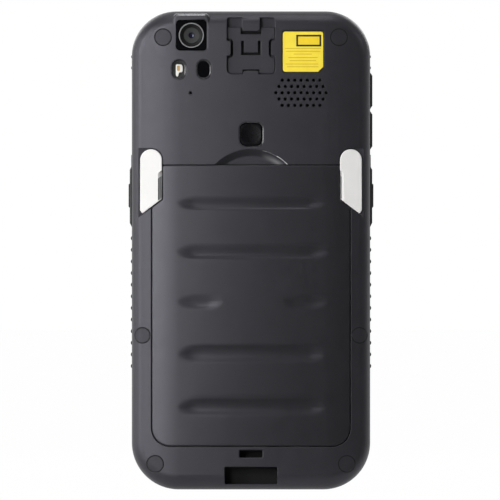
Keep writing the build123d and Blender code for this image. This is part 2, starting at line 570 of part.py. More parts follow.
def label_slab(slack):
    """Outline of the label with its clipped lower corner, as a deep slab."""
    left, right = LABEL_X - LABEL_WIDTH / 2 - slack, LABEL_X + LABEL_WIDTH / 2 + slack
    low, high = LABEL_Z - LABEL_HEIGHT / 2 - slack, LABEL_Z + LABEL_HEIGHT / 2 + slack
    with BuildPart() as slab:
        with BuildSketch(facing_back(0)) as plan:
            with BuildLine():
                Polyline(
                    (left, low),
                    (right - LABEL_CLIP, low),
                    (right, low + LABEL_CLIP),
                    (right, high),
                    (left, high),
                    close=True,
                )
            make_face()
            ends = plan.vertices().group_by(Axis.Y)
            fillet([*ends[-1], ends[0].sort_by(Axis.X)[0]], 0.9)
        extrude(amount=THICKNESS)
    return slab.part


# ---------------------------------------------------------------- front frame and display
def build_front_frame():
    with BuildPart() as frame:
        add(outer_form)
        add(plan_slab(-1, -THICKNESS, PARTING + FIT), mode=Mode.SUBTRACT)
        # alignment lip that drops inside the back housing
        with BuildPart(mode=Mode.PRIVATE) as lip:
            add(plan_slab(WALL + 0.1, PARTING - LIP_DEPTH, PARTING + 0.5))
            add(plan_slab(WALL + 1.0, PARTING - 1, PARTING + 1), mode=Mode.SUBTRACT)
            for x in (-MIC_FRONT_X, MIC_FRONT_X):
                with Locations((x, PARTING, 0)):
                    Box(8, 4, 10, mode=Mode.SUBTRACT)
        add(lip.part)
        # seat of the cover glass, opening for the display, cavity of the earpiece
        glass_height, screen_height = GLASS_HIGH - GLASS_LOW, OPENING_HIGH - OPENING_LOW
        with BuildSketch(facing_back(FRONT + 1)):
            with Locations((0, GLASS_LOW + glass_height / 2)):
                RectangleRounded(2 * GLASS_HALF + 0.3, glass_height + 0.3, GLASS_CORNER)
        extrude(amount=FRONT + 1 - (GLASS_BACK - FIT), mode=Mode.SUBTRACT)
        with BuildSketch(facing_back(FRONT + 1)):
            with Locations((0, OPENING_LOW + screen_height / 2)):
                RectangleRounded(2 * OPENING_HALF, screen_height, 6)
        extrude(amount=FRONT, mode=Mode.SUBTRACT)
        with BuildSketch(facing_back(FRONT + 1)):
            with Locations((0, EARPIECE_Z)):
                SlotOverall(EARPIECE_WIDTH, EARPIECE_SLOT)
        extrude(amount=FRONT, mode=Mode.SUBTRACT)
        with Locations((0, PARTING + 0.5, EARPIECE_Z)):
            Box(EARPIECE_WIDTH + 1.4, 3.4, EARPIECE_HEIGHT + 0.4, mode=Mode.SUBTRACT)
        add(rod(MIC_FRONT_X, 3.6, MIC_RADIUS, PARTING - 1, FRONT + 1), mode=Mode.SUBTRACT)
    return frame.part


def build_cover_glass():
    height = GLASS_HIGH - GLASS_LOW
    with BuildPart() as glass:
        with BuildSketch(facing_back(GLASS_FRONT)):
            with Locations((0, GLASS_LOW + height / 2)):
                RectangleRounded(2 * GLASS_HALF, height, GLASS_CORNER)
        extrude(amount=GLASS_FRONT - GLASS_BACK)
        fillet(glass.edges().filter_by(lambda e: e.center().Y > GLASS_FRONT - 1e-3), 0.35)
    return glass.part


def build_display_module():
    """Display panel with a metal tray behind it and a driver ledge along its lower end."""
    height = SCREEN_HIGH - SCREEN_LOW
    with BuildPart() as module:
        with BuildSketch(facing_back(DISPLAY_FRONT)):
            with Locations((0, SCREEN_LOW + height / 2)):
                RectangleRounded(2 * SCREEN_HALF, height, 4)
        extrude(amount=DISPLAY_FRONT - DISPLAY_BACK)
        with BuildSketch(facing_back(DISPLAY_FRONT)):
            with Locations((0, SCREEN_LOW + 2.5)):
                Rectangle(2 * SCREEN_HALF - 12, 2.4)
        extrude(amount=0.3, mode=Mode.SUBTRACT)
    return module.part


def build_chassis():
    """Metal mid-plate with the six threaded posts and openings for what passes through it."""
    with BuildPart() as chassis:
        add(plan_slab(CHASSIS_INSET, CHASSIS_BACK, CHASSIS_FRONT))
        for x, z, radius, seat in SCREW_SPOTS:
            for place in (-x, x):
                add(rod(place, z, POST_RADIUS, POST_END, CHASSIS_BACK + 0.4))
        # lightening windows and the openings for earpiece, front camera and status light
        with BuildSketch(facing_back(FRONT)):
            with Locations((0, 60)):
                with GridLocations(30, 44, 2, 2):
                    RectangleRounded(20, 30, 4)
            for x in (FRONT_CAMERA_X, STATUS_X):
                with Locations((x, FRONT_CAMERA_Z)):
                    Circle(FRONT_CAMERA_RADIUS + 0.4)
            with Locations((0, EARPIECE_Z)):
                Rectangle(EARPIECE_WIDTH + 1.4, 8)
        extrude(amount=FRONT, mode=Mode.SUBTRACT)
        for x, z, radius, seat in SCREW_SPOTS:
            for place in (-x, x):
                hole = rod(place, z, SCREW_RADIUS + RUNNING, POST_END - 1, SCREW_END + 0.2)
                add(hole, mode=Mode.SUBTRACT)
    return chassis.part


# ---------------------------------------------------------------- battery
def groove_cut(low, high, spans, apex):
    """Grip groove with two sloping walls that follows the crown; apex is its deepest height."""
    middle = (low + high) / 2
    with BuildPart() as wedge:
        for start in (low, high):
            slant = Vector(0, GROOVE_DEPTH, apex - start)
            add(extrude(outside_section(start), amount=slant.length, dir=slant))
        with BuildSketch(facing_back(0)):
            for left, right in spans:
                with BuildLine():
                    Polyline(
                        (left, middle),
                        (left + GROOVE_POINT, high),
                        (right - GROOVE_POINT, high),
                        (right, middle),
                        (right - GROOVE_POINT, low),
                        (left + GROOVE_POINT, low),
                        close=True,
                    )
                make_face()
        extrude(amount=THICKNESS, mode=Mode.INTERSECT)
    return wedge.part


def build_battery_cover():
    with BuildPart() as cover:
        add(extrude(cover_outline(0, 0), amount=THICKNESS))
        add(outer_form, mode=Mode.INTERSECT)
        add(cover_inner_form, mode=Mode.SUBTRACT)
        for groove in GROOVES:
            add(groove_cut(*groove), mode=Mode.SUBTRACT)
        # hook tabs that catch under the housing at the lower end
        with Locations((HOOK_X, 0, COVER_LOW), (-HOOK_X, 0, COVER_LOW)):
            with Locations((0, (HOOK_BACK + HOOK_FRONT) / 2, 1.3 - HOOK_DROP)):
                Box(HOOK_WIDTH, HOOK_FRONT - HOOK_BACK, 2.6)
    return cover.part


def build_battery_pack():
    """Cell pack: rounded block with a drafted upper end and a notch for the connector."""
    width, height = 2 * PACK_HALF, PACK_HIGH - PACK_LOW
    with BuildPart() as pack:
        with BuildSketch(Plane.YZ.offset(-PACK_HALF)):
            Polygon(
                (-THICKNESS, PACK_LOW),
                (PACK_FRONT, PACK_LOW),
                (PACK_FRONT, PACK_HIGH - PACK_DRAFT),
                (COVER_DEPTH + BACK, PACK_HIGH),
                (-THICKNESS, PACK_HIGH),
                align=None,
            )
        extrude(amount=width)
        fillet(pack.edges().filter_by(Axis.Z), 1.5)
        front_ends = pack.edges().filter_by(Axis.X).filter_by(lambda e: e.center().Y > 0)
        fillet(front_ends, 0.6)
        add(ledge_form, mode=Mode.INTERSECT)
        with Locations((0, PACK_FRONT, PACK_LOW)):
            Box(2 * PLUG_HALF + 3, 2 * (PACK_FRONT - PLUG_BACK) + 1.4, 2 * (PLUG_HIGH - PACK_LOW + 0.8),
                mode=Mode.SUBTRACT)
        # shallow label bay and seam on the inner face
        with BuildSketch(facing_back(PACK_FRONT)):
            with Locations((0, (PACK_LOW + PACK_HIGH) / 2)):
                RectangleRounded(width - 10, height - 20, 2)
        extrude(amount=0.2, mode=Mode.SUBTRACT)
    return pack.part


def build_battery_terminals():
    """Gold pads on the step of the pack, opposite the blades of the connector."""
    with BuildPart() as pads:
        back = PLUG_BACK - 0.7
        with BuildSketch(facing_back(back + 0.25)):
            with Locations((0, PACK_LOW + 2.0)):
                with GridLocations(3.2, 1, 4, 1):
                    Rectangle(1.8, 2.4)
        extrude(amount=0.24)
    return pads.part


def build_battery_connector():
    """Connector block on the well floor with four raised spring blades."""
    front = PACK_FRONT + WELL_GAP
    with BuildPart() as plug:
        block_back = PLUG_BACK + 0.5
        with Locations((0, (block_back + front) / 2 - FIT / 2, (PLUG_LOW + PLUG_HIGH) / 2)):
            Box(2 * PLUG_HALF, front - block_back - FIT, PLUG_HIGH - PLUG_LOW)
        fillet(plug.edges().filter_by(Axis.Y), 0.6)
        with BuildSketch(facing_back(block_back + 0.1)):
            with Locations((0, PACK_LOW + 2.0)):
                with GridLocations(3.2, 1, 4, 1):
                    Rectangle(0.8, 1.8)
        extrude(amount=0.5)
    return plug.part


def build_battery_seal():
    with BuildPart() as seal:
        add(seal_ring(0, 0, THICKNESS))
        add(seal_top_form, mode=Mode.INTERSECT)
        add(seal_base_form, mode=Mode.SUBTRACT)
    return seal.part


# ---------------------------------------------------------------- locking levers
def lever_face(x):
    """Depth of the lever's flat face at x."""
    inner = back_depth(LEVER_INNER, -LEVER_PROUD)
    return inner + (x - LEVER_INNER) * (LEVER_RIM - inner) / (LEVER_OUTER - LEVER_INNER)


def build_latch_lever():
    """Right-hand lever: flat tilted face, bevel beside the battery, and its shaft."""
    near, far = LEVER_INNER - 3, LEVER_OUTER + 3
    with BuildPart() as lever:
        add(extrude(lever_outline(POCKET_FLOOR - FIT), amount=THICKNESS))
        fillet(lever.edges().filter_by(Axis.Y).filter_by(lambda e: e.center().Z < 100), 0.4)
        with BuildSketch(Plane.XY.offset(LEVER_TIP_Z - 1)):
            Polygon(
                (near, lever_face(near)),
                (far, lever_face(far)),
                (far, -2 * THICKNESS),
                (near, -2 * THICKNESS),
                align=None,
            )
        extrude(amount=LENGTH, mode=Mode.SUBTRACT)
        rim = lever.edges().filter_by(lambda e: e.center().Y < lever_face(e.center().X) + 0.05)
        fillet(rim, LEVER_EDGE)
        add(lever_bevel(), mode=Mode.SUBTRACT)
        with BuildSketch(facing_back(SHAFT_END)):
            with Locations((PIVOT_X, PIVOT_Z)):
                Circle(SHAFT_RADIUS)
        extrude(amount=SHAFT_END - POCKET_FLOOR + 0.3)
        add(clip_ring(SHAFT_RADIUS + 1, CLIP_BORE, CLIP_BACK - FIT, CLIP_FRONT + FIT), mode=Mode.SUBTRACT)
    return lever.part


def lever_bevel():
    """Long bevel beside the battery, its upper end slanted."""
    surface = lever_face(LEVER_INNER)
    with BuildPart() as bevel:
        with BuildSketch(Plane.XY.offset(LEVER_TIP_Z - 1)):
            Polygon(
                (LEVER_INNER - 2, surface - 3),
                (LEVER_INNER + BEVEL_WIDTH + 1.2, surface - 1.2),
                (LEVER_INNER + BEVEL_WIDTH, lever_face(LEVER_INNER + BEVEL_WIDTH)),
                (LEVER_INNER, surface + BEVEL_DROP),
                (LEVER_INNER - 2, surface + BEVEL_DROP + 2),
                align=None,
            )
        extrude(amount=BEVEL_TOP - LEVER_TIP_Z + 1)
        with Locations(Location((LEVER_INNER, 0, BEVEL_TOP + 5), (0, BEVEL_SLANT, 0))):
            Box(20, 3 * THICKNESS, 10, mode=Mode.SUBTRACT)
    return bevel.part


def clip_ring(outer, inner, back, front):
    """Flat ring about the lever's shaft between two depths."""
    with BuildPart() as ring:
        with BuildSketch(facing_back(front)):
            with Locations((PIVOT_X, PIVOT_Z)):
                Circle(outer)
                Circle(inner, mode=Mode.SUBTRACT)
        extrude(amount=front - back)
    return ring.part


def build_latch_clip():
    """Open retaining ring that holds the lever's shaft behind the housing wall."""
    with BuildPart() as clip:
        add(clip_ring(CLIP_RADIUS, CLIP_BORE + 0.02, CLIP_BACK, CLIP_FRONT))
        with Locations((PIVOT_X, CLIP_BACK, PIVOT_Z + 2)):
            Box(1.6, 2, 4, mode=Mode.SUBTRACT)
    return clip.part


# ---------------------------------------------------------------- keys
def side_key(low, high, profile, radius):
    """Key for the right-hand wall: a profiled cap with a flange behind the wall."""
    depth, middle = KEY_FRONT - KEY_BACK, (KEY_BACK + KEY_FRONT) / 2
    with BuildPart() as key:
        with BuildSketch(facing_back(KEY_FRONT)):
            Polygon(*profile, align=None)
        extrude(amount=depth)
        envelope = rounded_block((12, depth, high - low), (SIDE, middle, (low + high) / 2), radius, Axis.X)
        add(envelope, mode=Mode.INTERSECT)
        top = max(x for x, _ in profile)
        with BuildSketch(Plane.XY.offset(low)):
            Polygon(
                (top - 10, KEY_BACK),
                (top - KEY_BREAK, KEY_BACK),
                (top, KEY_BACK + KEY_BREAK),
                (top, KEY_FRONT - KEY_BREAK),
                (top - KEY_BREAK, KEY_FRONT),
                (top - 10, KEY_FRONT),
                align=None,
            )
        extrude(amount=high - low, mode=Mode.INTERSECT)
    return key.part


def flange(low, high):
    """Retaining flange of a side key, just inside the wall."""
    depth = KEY_FRONT - KEY_BACK + 2 * FLANGE_LAP
    size = (FLANGE_THICK, depth, high - low)
    centre = (FLANGE_OUT - FLANGE_THICK / 2, (KEY_BACK + KEY_FRONT) / 2, (low + high) / 2)
    return rounded_block(size, centre, 1.0, Axis.X)


def build_scan_key():
    """Long side key: a ramp at each end, a thin tail above, and the bay for the soft pad."""
    face, depth = SIDE + SCAN_PROUD, KEY_FRONT - KEY_BACK
    profile = (
        (FLANGE_OUT - 0.3, SCAN_LOW),
        (SIDE, SCAN_LOW),
        (face, SCAN_LOW + SCAN_RAMP),
        (face, SCAN_NECK - SCAN_RAMP),
        (SIDE, SCAN_NECK),
        (FLANGE_OUT - 0.3, SCAN_NECK),
    )
    tail_low, tail_out = SCAN_NECK - 3, SIDE + SCAN_TAIL
    with BuildPart() as key:
        add(side_key(SCAN_LOW, SCAN_NECK, profile, 1.85))
        size = (tail_out - FLANGE_OUT + 0.3, depth, SCAN_HIGH - tail_low)
        centre = (tail_out - size[0] / 2, (KEY_BACK + KEY_FRONT) / 2, (tail_low + SCAN_HIGH) / 2)
        add(rounded_block(size, centre, 1.85, Axis.X))
        add(flange(SCAN_LOW - FLANGE_LAP, SCAN_HIGH + FLANGE_LAP))
        add(pad_block(face - PAD_SEAT, face + 1, FIT), mode=Mode.SUBTRACT)
    return key.part


def pad_block(inner, outer, slack):
    """Rounded block at the place of the soft pad, between two distances from the middle."""
    depth = KEY_FRONT - KEY_BACK - 2 * PAD_MARGIN + 2 * slack
    size = (outer - inner, depth, PAD_HIGH - PAD_LOW + 2 * slack)
    centre = ((inner + outer) / 2, (KEY_BACK + KEY_FRONT) / 2, (PAD_LOW + PAD_HIGH) / 2)
    return rounded_block(size, centre, 1.3, Axis.X)


def build_scan_pad():
    """Soft raised pad in the middle of a scan key, with three grip ridges left standing."""
    face = SIDE + PAD_PROUD
    with BuildPart() as pad:
        add(pad_block(SIDE + SCAN_PROUD - PAD_SEAT + FIT, face, 0))
        outer = pad.faces().sort_by(Axis.X)[-1]
        chamfer(outer.edges(), 0.25)
        for z in (-2.4, -0.8, 0.8, 2.4):
            with Locations((face, (KEY_BACK + KEY_FRONT) / 2, (PAD_LOW + PAD_HIGH) / 2 + z)):
                Box(0.5, 2.4, 0.5, mode=Mode.SUBTRACT)
    return pad.part


def build_volume_key(span, mark_height):
    """One volume key: flat cap with rounded ends, its flange open towards the other key."""
    low, high = span
    face = SIDE + VOLUME_PROUD
    profile = ((FLANGE_OUT - 0.3, low), (SIDE, low), (face, low + 1.2), (face, high - 1.2),
               (SIDE, high), (FLANGE_OUT - 0.3, high))
    upper = span == VOLUME_SPANS[0]
    with BuildPart() as key:
        add(side_key(low, high, profile, 1.4))
        add(flange(low if upper else low - FLANGE_LAP, high + FLANGE_LAP if upper else high))
        for offset in (-1.2, 1.2) if upper else (0,):
            with Locations((face, (KEY_BACK + KEY_FRONT) / 2, (low + high) / 2 + offset)):
                Box(0.5, mark_height, 0.7, mode=Mode.SUBTRACT)
    return key.part


def build_power_key():
    """Flush key in the upper end with a dished top and a flange below the wall."""
    with BuildPart() as key:
        centre_z = (POWER_TOP + LENGTH - WALL - 0.8) / 2
        height = POWER_TOP - (LENGTH - WALL - 0.8)
        add(rounded_block((POWER_LENGTH, POWER_DEPTH, height), (POWER_X, POWER_Y, centre_z), 1.5, Axis.Z))
        chamfer(key.edges().group_by(Axis.Z)[-1], 0.3)
        size = (POWER_LENGTH + 2 * FLANGE_LAP, POWER_DEPTH + 2 * FLANGE_LAP, FLANGE_THICK)
        top = LENGTH - WALL - 0.05
        add(rounded_block(size, (POWER_X, POWER_Y, top - FLANGE_THICK / 2), 1.5, Axis.Z))
        with Locations(Location((POWER_X, POWER_Y, POWER_TOP + 7.75), (90, 0, 0))):
            Cylinder(8.0, 2.2, mode=Mode.SUBTRACT)
    return key.part


def build_swap_key():
    """Square key on the back: gently dished cap over a wider flange inside the wall."""
    with BuildPart() as key:
        with BuildSketch(facing_back(SWAP_BASE)):
            with Locations((0, SWAP_Z)):
                RectangleRounded(SWAP_SIDE, SWAP_SIDE, SWAP_CORNER)
        extrude(amount=SWAP_BASE - (BACK + SWAP_SUNK))
        chamfer(key.edges().filter_by(lambda e: e.center().Y < BACK + SWAP_SUNK + 1e-3), 0.3)
        with BuildSketch(facing_back(SWAP_BASE)):
            with Locations((0, SWAP_Z)):
                RectangleRounded(SWAP_SIDE + 1.8, SWAP_SIDE + 1.8, SWAP_CORNER + 0.6)
        extrude(amount=SWAP_FLANGE)
        with Locations((0, BACK + SWAP_SUNK - 29.8, SWAP_Z)):
            Sphere(30.0, mode=Mode.SUBTRACT)
    return key.part


def switch_strip(sites, span):
    """Flex strip on a stiffener beside the right-hand wall, one dome switch per site."""
    low, high = span
    with BuildPart() as strip:
        with Locations((STRIP_X + 0.3, (STRIP_BACK + STRIP_FRONT) / 2, (low + high) / 2)):
            Box(0.6, STRIP_FRONT - STRIP_BACK, high - low)
        for z in (low + 3, high - 3):
            with Locations(((BOARD_HALF + STRIP_X) / 2 + 0.1, STRIP_FRONT - 0.5, z)):
                Box(STRIP_X - BOARD_HALF, 0.8, 4)
        for z in sites:
            middle = (KEY_BACK + KEY_FRONT) / 2
            with Locations((STRIP_X + 0.9, middle - 0.3, z)):
                Box(0.8, 3.0, 3.6)
            with Locations(Location(((STRIP_X + SWITCH_TIP) / 2 + 0.3, middle - 0.3, z), (0, 90, 0))):
                Cylinder(0.9, SWITCH_TIP - STRIP_X - 0.6)
    return strip.part


# ---------------------------------------------------------------- boards and modules
def build_main_board():
    """Main board with notched upper corners, screw clearance and a few chip packages."""
    height = BOARD_HIGH - BOARD_LOW
    with BuildPart() as board:
        with BuildSketch(facing_back(BOARD_FRONT)) as plan:
            with Locations((0, BOARD_LOW + height / 2)):
                Rectangle(2 * BOARD_HALF, height)
            chamfer(plan.vertices().group_by(Axis.Y)[-1], 5)
            fillet(plan.vertices().group_by(Axis.Y)[0], 3)
            with Locations(*[(side * SCREW_SPOTS[0][0], SCREW_SPOTS[0][1]) for side in (-1, 1)]):
                Circle(POST_RADIUS + 0.5, mode=Mode.SUBTRACT)
            with Locations((FRONT_CAMERA_X, FRONT_CAMERA_Z), (STATUS_X, FRONT_CAMERA_Z)):
                Circle(1.0, mode=Mode.SUBTRACT)
        extrude(amount=BOARD_FRONT - BOARD_BACK)
        for x, z, width, tall in CHIPS:
            with Locations((x, BOARD_FRONT + 0.35, z)):
                Box(width, 0.7, tall)
    return board.part


def build_shield(x, z, width, height):
    """Pressed shield can on the back of the board, with a folded rim and a stepped lid."""
    base = BOARD_BACK - FIT
    with BuildPart() as shield:
        for grow, depth in ((0, SHIELD_HEIGHT - 0.3), (-0.6, SHIELD_HEIGHT)):
            with BuildSketch(facing_back(base)):
                with Locations((x, z)):
                    RectangleRounded(width + 2 * grow, height + 2 * grow, 1.0)
            extrude(amount=depth)
        with BuildSketch(facing_back(base)):
            with Locations((x, z)):
                RectangleRounded(width - 0.5, height - 0.5, 0.8)
        extrude(amount=SHIELD_HEIGHT - 0.55, mode=Mode.SUBTRACT)
    return shield.part


def build_camera_window():
    with BuildPart() as window:
        with BuildSketch(facing_back(WINDOW_BACK - FIT)):
            with Locations((CAMERA_X, CAMERA_Z)):
                RectangleRounded(CAMERA_WINDOW, CAMERA_WINDOW, 1.25)
        extrude(amount=WINDOW_BACK - FIT - WINDOW_FACE)
        chamfer(window.edges().filter_by(lambda e: e.center().Y < WINDOW_FACE + 1e-3), 0.15)
        add(rod(CAMERA_X, CAMERA_Z, RING_OUTER + 0.02, BACK, 0), mode=Mode.SUBTRACT)
    return window.part


def build_camera_ring():
    """Bright trim ring round the lens, slightly proud of the window and flared inwards."""
    with BuildPart() as ring:
        with BuildSketch(facing_back(WINDOW_BACK - FIT)):
            with Locations((CAMERA_X, CAMERA_Z)):
                Circle(RING_OUTER)
                Circle(RING_INNER, mode=Mode.SUBTRACT)
        extrude(amount=WINDOW_BACK - FIT - WINDOW_FACE + 0.1)
        rims = ring.edges().filter_by(lambda e: e.center().Y < WINDOW_FACE - 0.1 + 1e-3)
        chamfer(rims, 0.12)
    return ring.part


def build_camera_lens():
    """Stepped barrel with a conical baffle and a small domed front element."""
    base, rim = WINDOW_BACK - FIT, RING_INNER - 0.1
    with BuildPart() as lens:
        add(rod(CAMERA_X, CAMERA_Z, rim, base - 0.95, base))
        add(rod(CAMERA_X, CAMERA_Z, 3.1, BACK, base - 0.7), mode=Mode.SUBTRACT)
        with BuildSketch(facing_back(base - 0.35)):
            with Locations((CAMERA_X, CAMERA_Z)):
                Circle(1.7)
        with BuildSketch(facing_back(base - 0.75)):
            with Locations((CAMERA_X, CAMERA_Z)):
                Circle(2.5)
        loft(mode=Mode.SUBTRACT)
        with BuildPart(mode=Mode.PRIVATE) as dome:
            with Locations((CAMERA_X, base + 1.3, CAMERA_Z)):
                Sphere(2.0)
            add(rod(CAMERA_X, CAMERA_Z, 3, base - 0.3, base + 5), mode=Mode.SUBTRACT)
        add(dome.part)
    return lens.part


def build_camera_module():
    """Camera body behind the lens: square can with a round focus turret in front of it."""
    with BuildPart() as module:
        add(rounded_block((8.2, 5.0, 8.2), (CAMERA_X, -3.5, CAMERA_Z), 0.6, Axis.Y))
        add(rod(CAMERA_X, CAMERA_Z, 3.5, WINDOW_BACK + FIT, -5.5))
        add(rounded_block((6.0, 4.2, 5.0), (CAMERA_X, 0.6, CAMERA_Z - 1), 0.4, Axis.Y))
    return module.part


def lamp_lens(x, cup):
    """Oval window over the flash or the distance sensor; cup is the depth of its hollow."""
    width, height = LAMP_WIDTH - 2 * FIT, LAMP_HEIGHT - 2 * FIT
    face = back_depth(x) + 0.25
    with BuildPart() as lens:
        with BuildSketch(facing_back(LAMP_SEAT - FIT)):
            with Locations((x, LAMP_Z)):
                RectangleRounded(width, height, width / 2 - 0.05)
        extrude(amount=LAMP_SEAT - FIT - face)
        chamfer(lens.edges().filter_by(lambda e: e.center().Y < face + 1e-3), 0.25)
        if cup:
            with BuildSketch(facing_back(face + cup)):
                with Locations((x, LAMP_Z)):
                    RectangleRounded(width - 1.3, height - 1.3, width / 2 - 0.7)
            extrude(amount=2, mode=Mode.SUBTRACT)
    return lens.part


def build_flash_emitter():
    """Small domed light source standing in the hollow of the flash window."""
    base = back_depth(FLASH_X) + 0.25 + FLASH_CUP
    with BuildPart() as emitter:
        with BuildSketch(facing_back(base - FIT)):
            with Locations((FLASH_X, LAMP_Z)):
                RectangleRounded(2.3, 3.6, 1.0)
        extrude(amount=FLASH_CUP - 0.25)
        fillet(emitter.edges().filter_by(lambda e: e.center().Y < base - FLASH_CUP + 0.22), 0.25)
    return emitter.part


def build_sensor_bracket():
    """Bracket on the board that carries the flash and distance-sensor modules."""
    low, high = LAMP_Z - 5.5, LAMP_Z + 4.0
    middle = (FLASH_X + TOF_X) / 2
    with BuildPart() as bracket:
        with Locations((middle, BRACKET_BACK + 0.5, (low + high) / 2)):
            Box(18, 1.0, high - low)
        for x in (middle - 7.5, middle + 7.5):
            for z in (low + 1.2, high - 1.2):
                with Locations((x, (BRACKET_BACK + BOARD_BACK - FIT) / 2 + 0.5, z)):
                    Box(2.0, BOARD_BACK - FIT - BRACKET_BACK - 1.0, 2.0)
        for x in (FLASH_X, TOF_X):
            with Locations((x, BRACKET_BACK - 0.9, LAMP_Z)):
                Box(4.0, 1.8, 5.0)
    return bracket.part


def build_strap_plate():
    """Insert of the upper strap socket: side notches, a lower notch and a sprung finger."""
    low, high = SOCKET_LOW + 0.15, PLATE_TOP
    with BuildPart() as plate:
        with BuildSketch(facing_back(SOCKET_FLOOR - FIT)) as plan:
            with Locations((0, low)):
                Rectangle(2 * SOCKET_HALF - 0.3, high - low, align=(Align.CENTER, Align.MIN))
            fillet(plan.vertices().group_by(Axis.Y)[0], 1.55)
            with Locations((SOCKET_HALF, TAB_Z), (-SOCKET_HALF, TAB_Z)):
                RectangleRounded(2 * (TAB_REACH + 0.8), TAB_HEIGHT + 1.4, 1.3, mode=Mode.SUBTRACT)
            with Locations((0, SOCKET_LOW)):
                Rectangle(2 * FOOT_HALF + 0.6, 2 * FOOT_REACH + 0.6, mode=Mode.SUBTRACT)
            with Locations((0, high)):
                Rectangle(2 * TONGUE_HALF + 1.0, 2 * (high - TONGUE_LOW + 1.0), mode=Mode.SUBTRACT)
            # U-shaped slot that frees the finger
            with Locations((0, FINGER_LOW)):
                Rectangle(6.4, FINGER_TALL, align=(Align.CENTER, Align.MIN), mode=Mode.SUBTRACT)
            with Locations((0, FINGER_LOW + 0.8)):
                Rectangle(4.7, FINGER_TALL - 0.8, align=(Align.CENTER, Align.MIN))
        extrude(amount=SOCKET_FLOOR - FIT - PLATE_BACK)
        chamfer(plate.edges().filter_by(lambda e: e.center().Y < PLATE_BACK + 1e-3 and e.length > 4), 0.15)
    return plate.part


def build_label():
    with BuildPart() as label:
        add(label_slab(0))
        add(outer_form, mode=Mode.INTERSECT)
        add(label_form, mode=Mode.SUBTRACT)
    return label.part


def build_speaker():
    """Loudspeaker behind the sound holes: frame, stepped basket and round magnet."""
    with BuildPart() as speaker:
        add(rounded_block((18.4, 2.0, 10.2), (SPEAKER_X, -4.6, SPEAKER_Z), 2.0, Axis.Y))
        add(rod(SPEAKER_X, SPEAKER_Z, 4.6, -3.8, BOARD_BACK - FIT))
    return speaker.part


def build_speaker_mesh():
    with BuildPart() as mesh:
        add(rounded_block((18.4, 0.2, 10.2), (SPEAKER_X, -5.8, SPEAKER_Z), 2.0, Axis.Y))
    return mesh.part


def build_microphone():
    """Microphone can under its port, on a pillar from the board."""
    with BuildPart() as can:
        add(rounded_block((3.4, 1.2, 3.4), (MIC_X, -5.3, MIC_Z), 0.5, Axis.Y))
        add(rod(MIC_X, MIC_Z, 1.1, -5, BOARD_BACK - FIT))
    return can.part


def build_earpiece():
    with BuildPart() as capsule:
        size = (EARPIECE_WIDTH + 1.0, 1.5, EARPIECE_HEIGHT)
        add(rounded_block(size, (0, PARTING + 0.8, EARPIECE_Z), 0.8, Axis.Y))
        with BuildSketch(facing_back(PARTING + 1.55)):
            with Locations((0, EARPIECE_Z)):
                SlotOverall(EARPIECE_WIDTH - 2, 0.8)
        extrude(amount=0.3, mode=Mode.SUBTRACT)
    return capsule.part


def build_front_camera():
    with BuildPart() as camera:
        add(rod(FRONT_CAMERA_X, FRONT_CAMERA_Z, FRONT_CAMERA_RADIUS, BOARD_FRONT + FIT, GLASS_BACK - FIT))
        cup = rod(FRONT_CAMERA_X, FRONT_CAMERA_Z, 1.4, GLASS_BACK - 0.5, GLASS_BACK)
        add(cup, mode=Mode.SUBTRACT)
    return camera.part


def build_status_light():
    with BuildPart() as pipe:
        add(rod(STATUS_X, FRONT_CAMERA_Z, 1.0, BOARD_FRONT + FIT, GLASS_BACK - FIT))
        add(rod(STATUS_X, FRONT_CAMERA_Z, 2.0, BOARD_FRONT + FIT, CHASSIS_BACK - 0.2))
    return pipe.part


def build_motor():
    """Coin vibration motor on the board with its two contact feet."""
    with BuildPart() as motor:
        add(rod(MOTOR_X, MOTOR_Z, 5.0, BOARD_BACK - 3.0, BOARD_BACK - FIT))
        fillet(motor.edges().filter_by(lambda e: e.center().Y < BOARD_BACK - 2.9), 0.4)
        with Locations((MOTOR_X + 5.0, BOARD_BACK - 0.55, MOTOR_Z)):
            Box(4.0, 1.0, 3.0)
    return motor.part


def build_scan_engine():
    """Imager in the upper end: body, two mounting ears, aiming and imaging apertures."""
    low, high = 146.8, LENGTH - WALL - 1.0
    back, front = -4.6, BOARD_BACK - 0.5
    with BuildPart() as engine:
        size = (22.0, front - back, high - low)
        add(rounded_block(size, (0, (back + front) / 2, (low + high) / 2), 0.8, Axis.Z))
        for x in (-12.0, 12.0):
            with Locations((x, front - 0.6, low + 3.5)):
                Box(3.0, 1.2, 5.0)
        for x, radius in ((-5.0, 2.0), (4.0, 1.3), (8.0, 0.9)):
            with Locations((x, SCAN_Y, high)):
                Cylinder(radius, 2.4, mode=Mode.SUBTRACT)
        with Locations((0, front + 0.2, low + 3.5)):
            Box(12.0, 0.5, 4.0)
    return engine.part


def build_scan_window():
    base = SCAN_BASE + FIT
    with BuildPart() as window:
        size = (SCAN_WIDTH, SCAN_HEIGHT, LENGTH - 0.35 - base)
        add(rounded_block(size, (0, SCAN_Y, (base + LENGTH - 0.35) / 2), 2.3, Axis.Z))
        chamfer(window.edges().group_by(Axis.Z)[-1], 0.2)
    return window.part


def build_usb_connector():
    """Receptacle in the lower end: drawn shell with its tongue, tails reaching the board."""
    with BuildPart() as usb:
        add(rounded_block((USB_WIDTH, USB_HEIGHT, 7.2), (0, USB_Y, 4.4), 1.5, Axis.Z))
        add(rounded_block((USB_WIDTH - 0.7, USB_HEIGHT - 0.7, 6.0), (0, USB_Y, 3.4), 1.2, Axis.Z),
            mode=Mode.SUBTRACT)
        with Locations((0, USB_Y, 4.4)):
            Box(6.6, 0.7, 5.0)
    return usb.part


def build_dock_contacts():
    """Sprung charging contacts of the lower end, each with a tail on the small board."""
    with BuildPart() as contacts:
        for x in DOCK_SPOTS:
            add(rounded_block((DOCK_WIDTH, DOCK_DEPTH, 4.2), (x, USB_Y, 2.4), 0.35, Axis.Z))
    return contacts.part


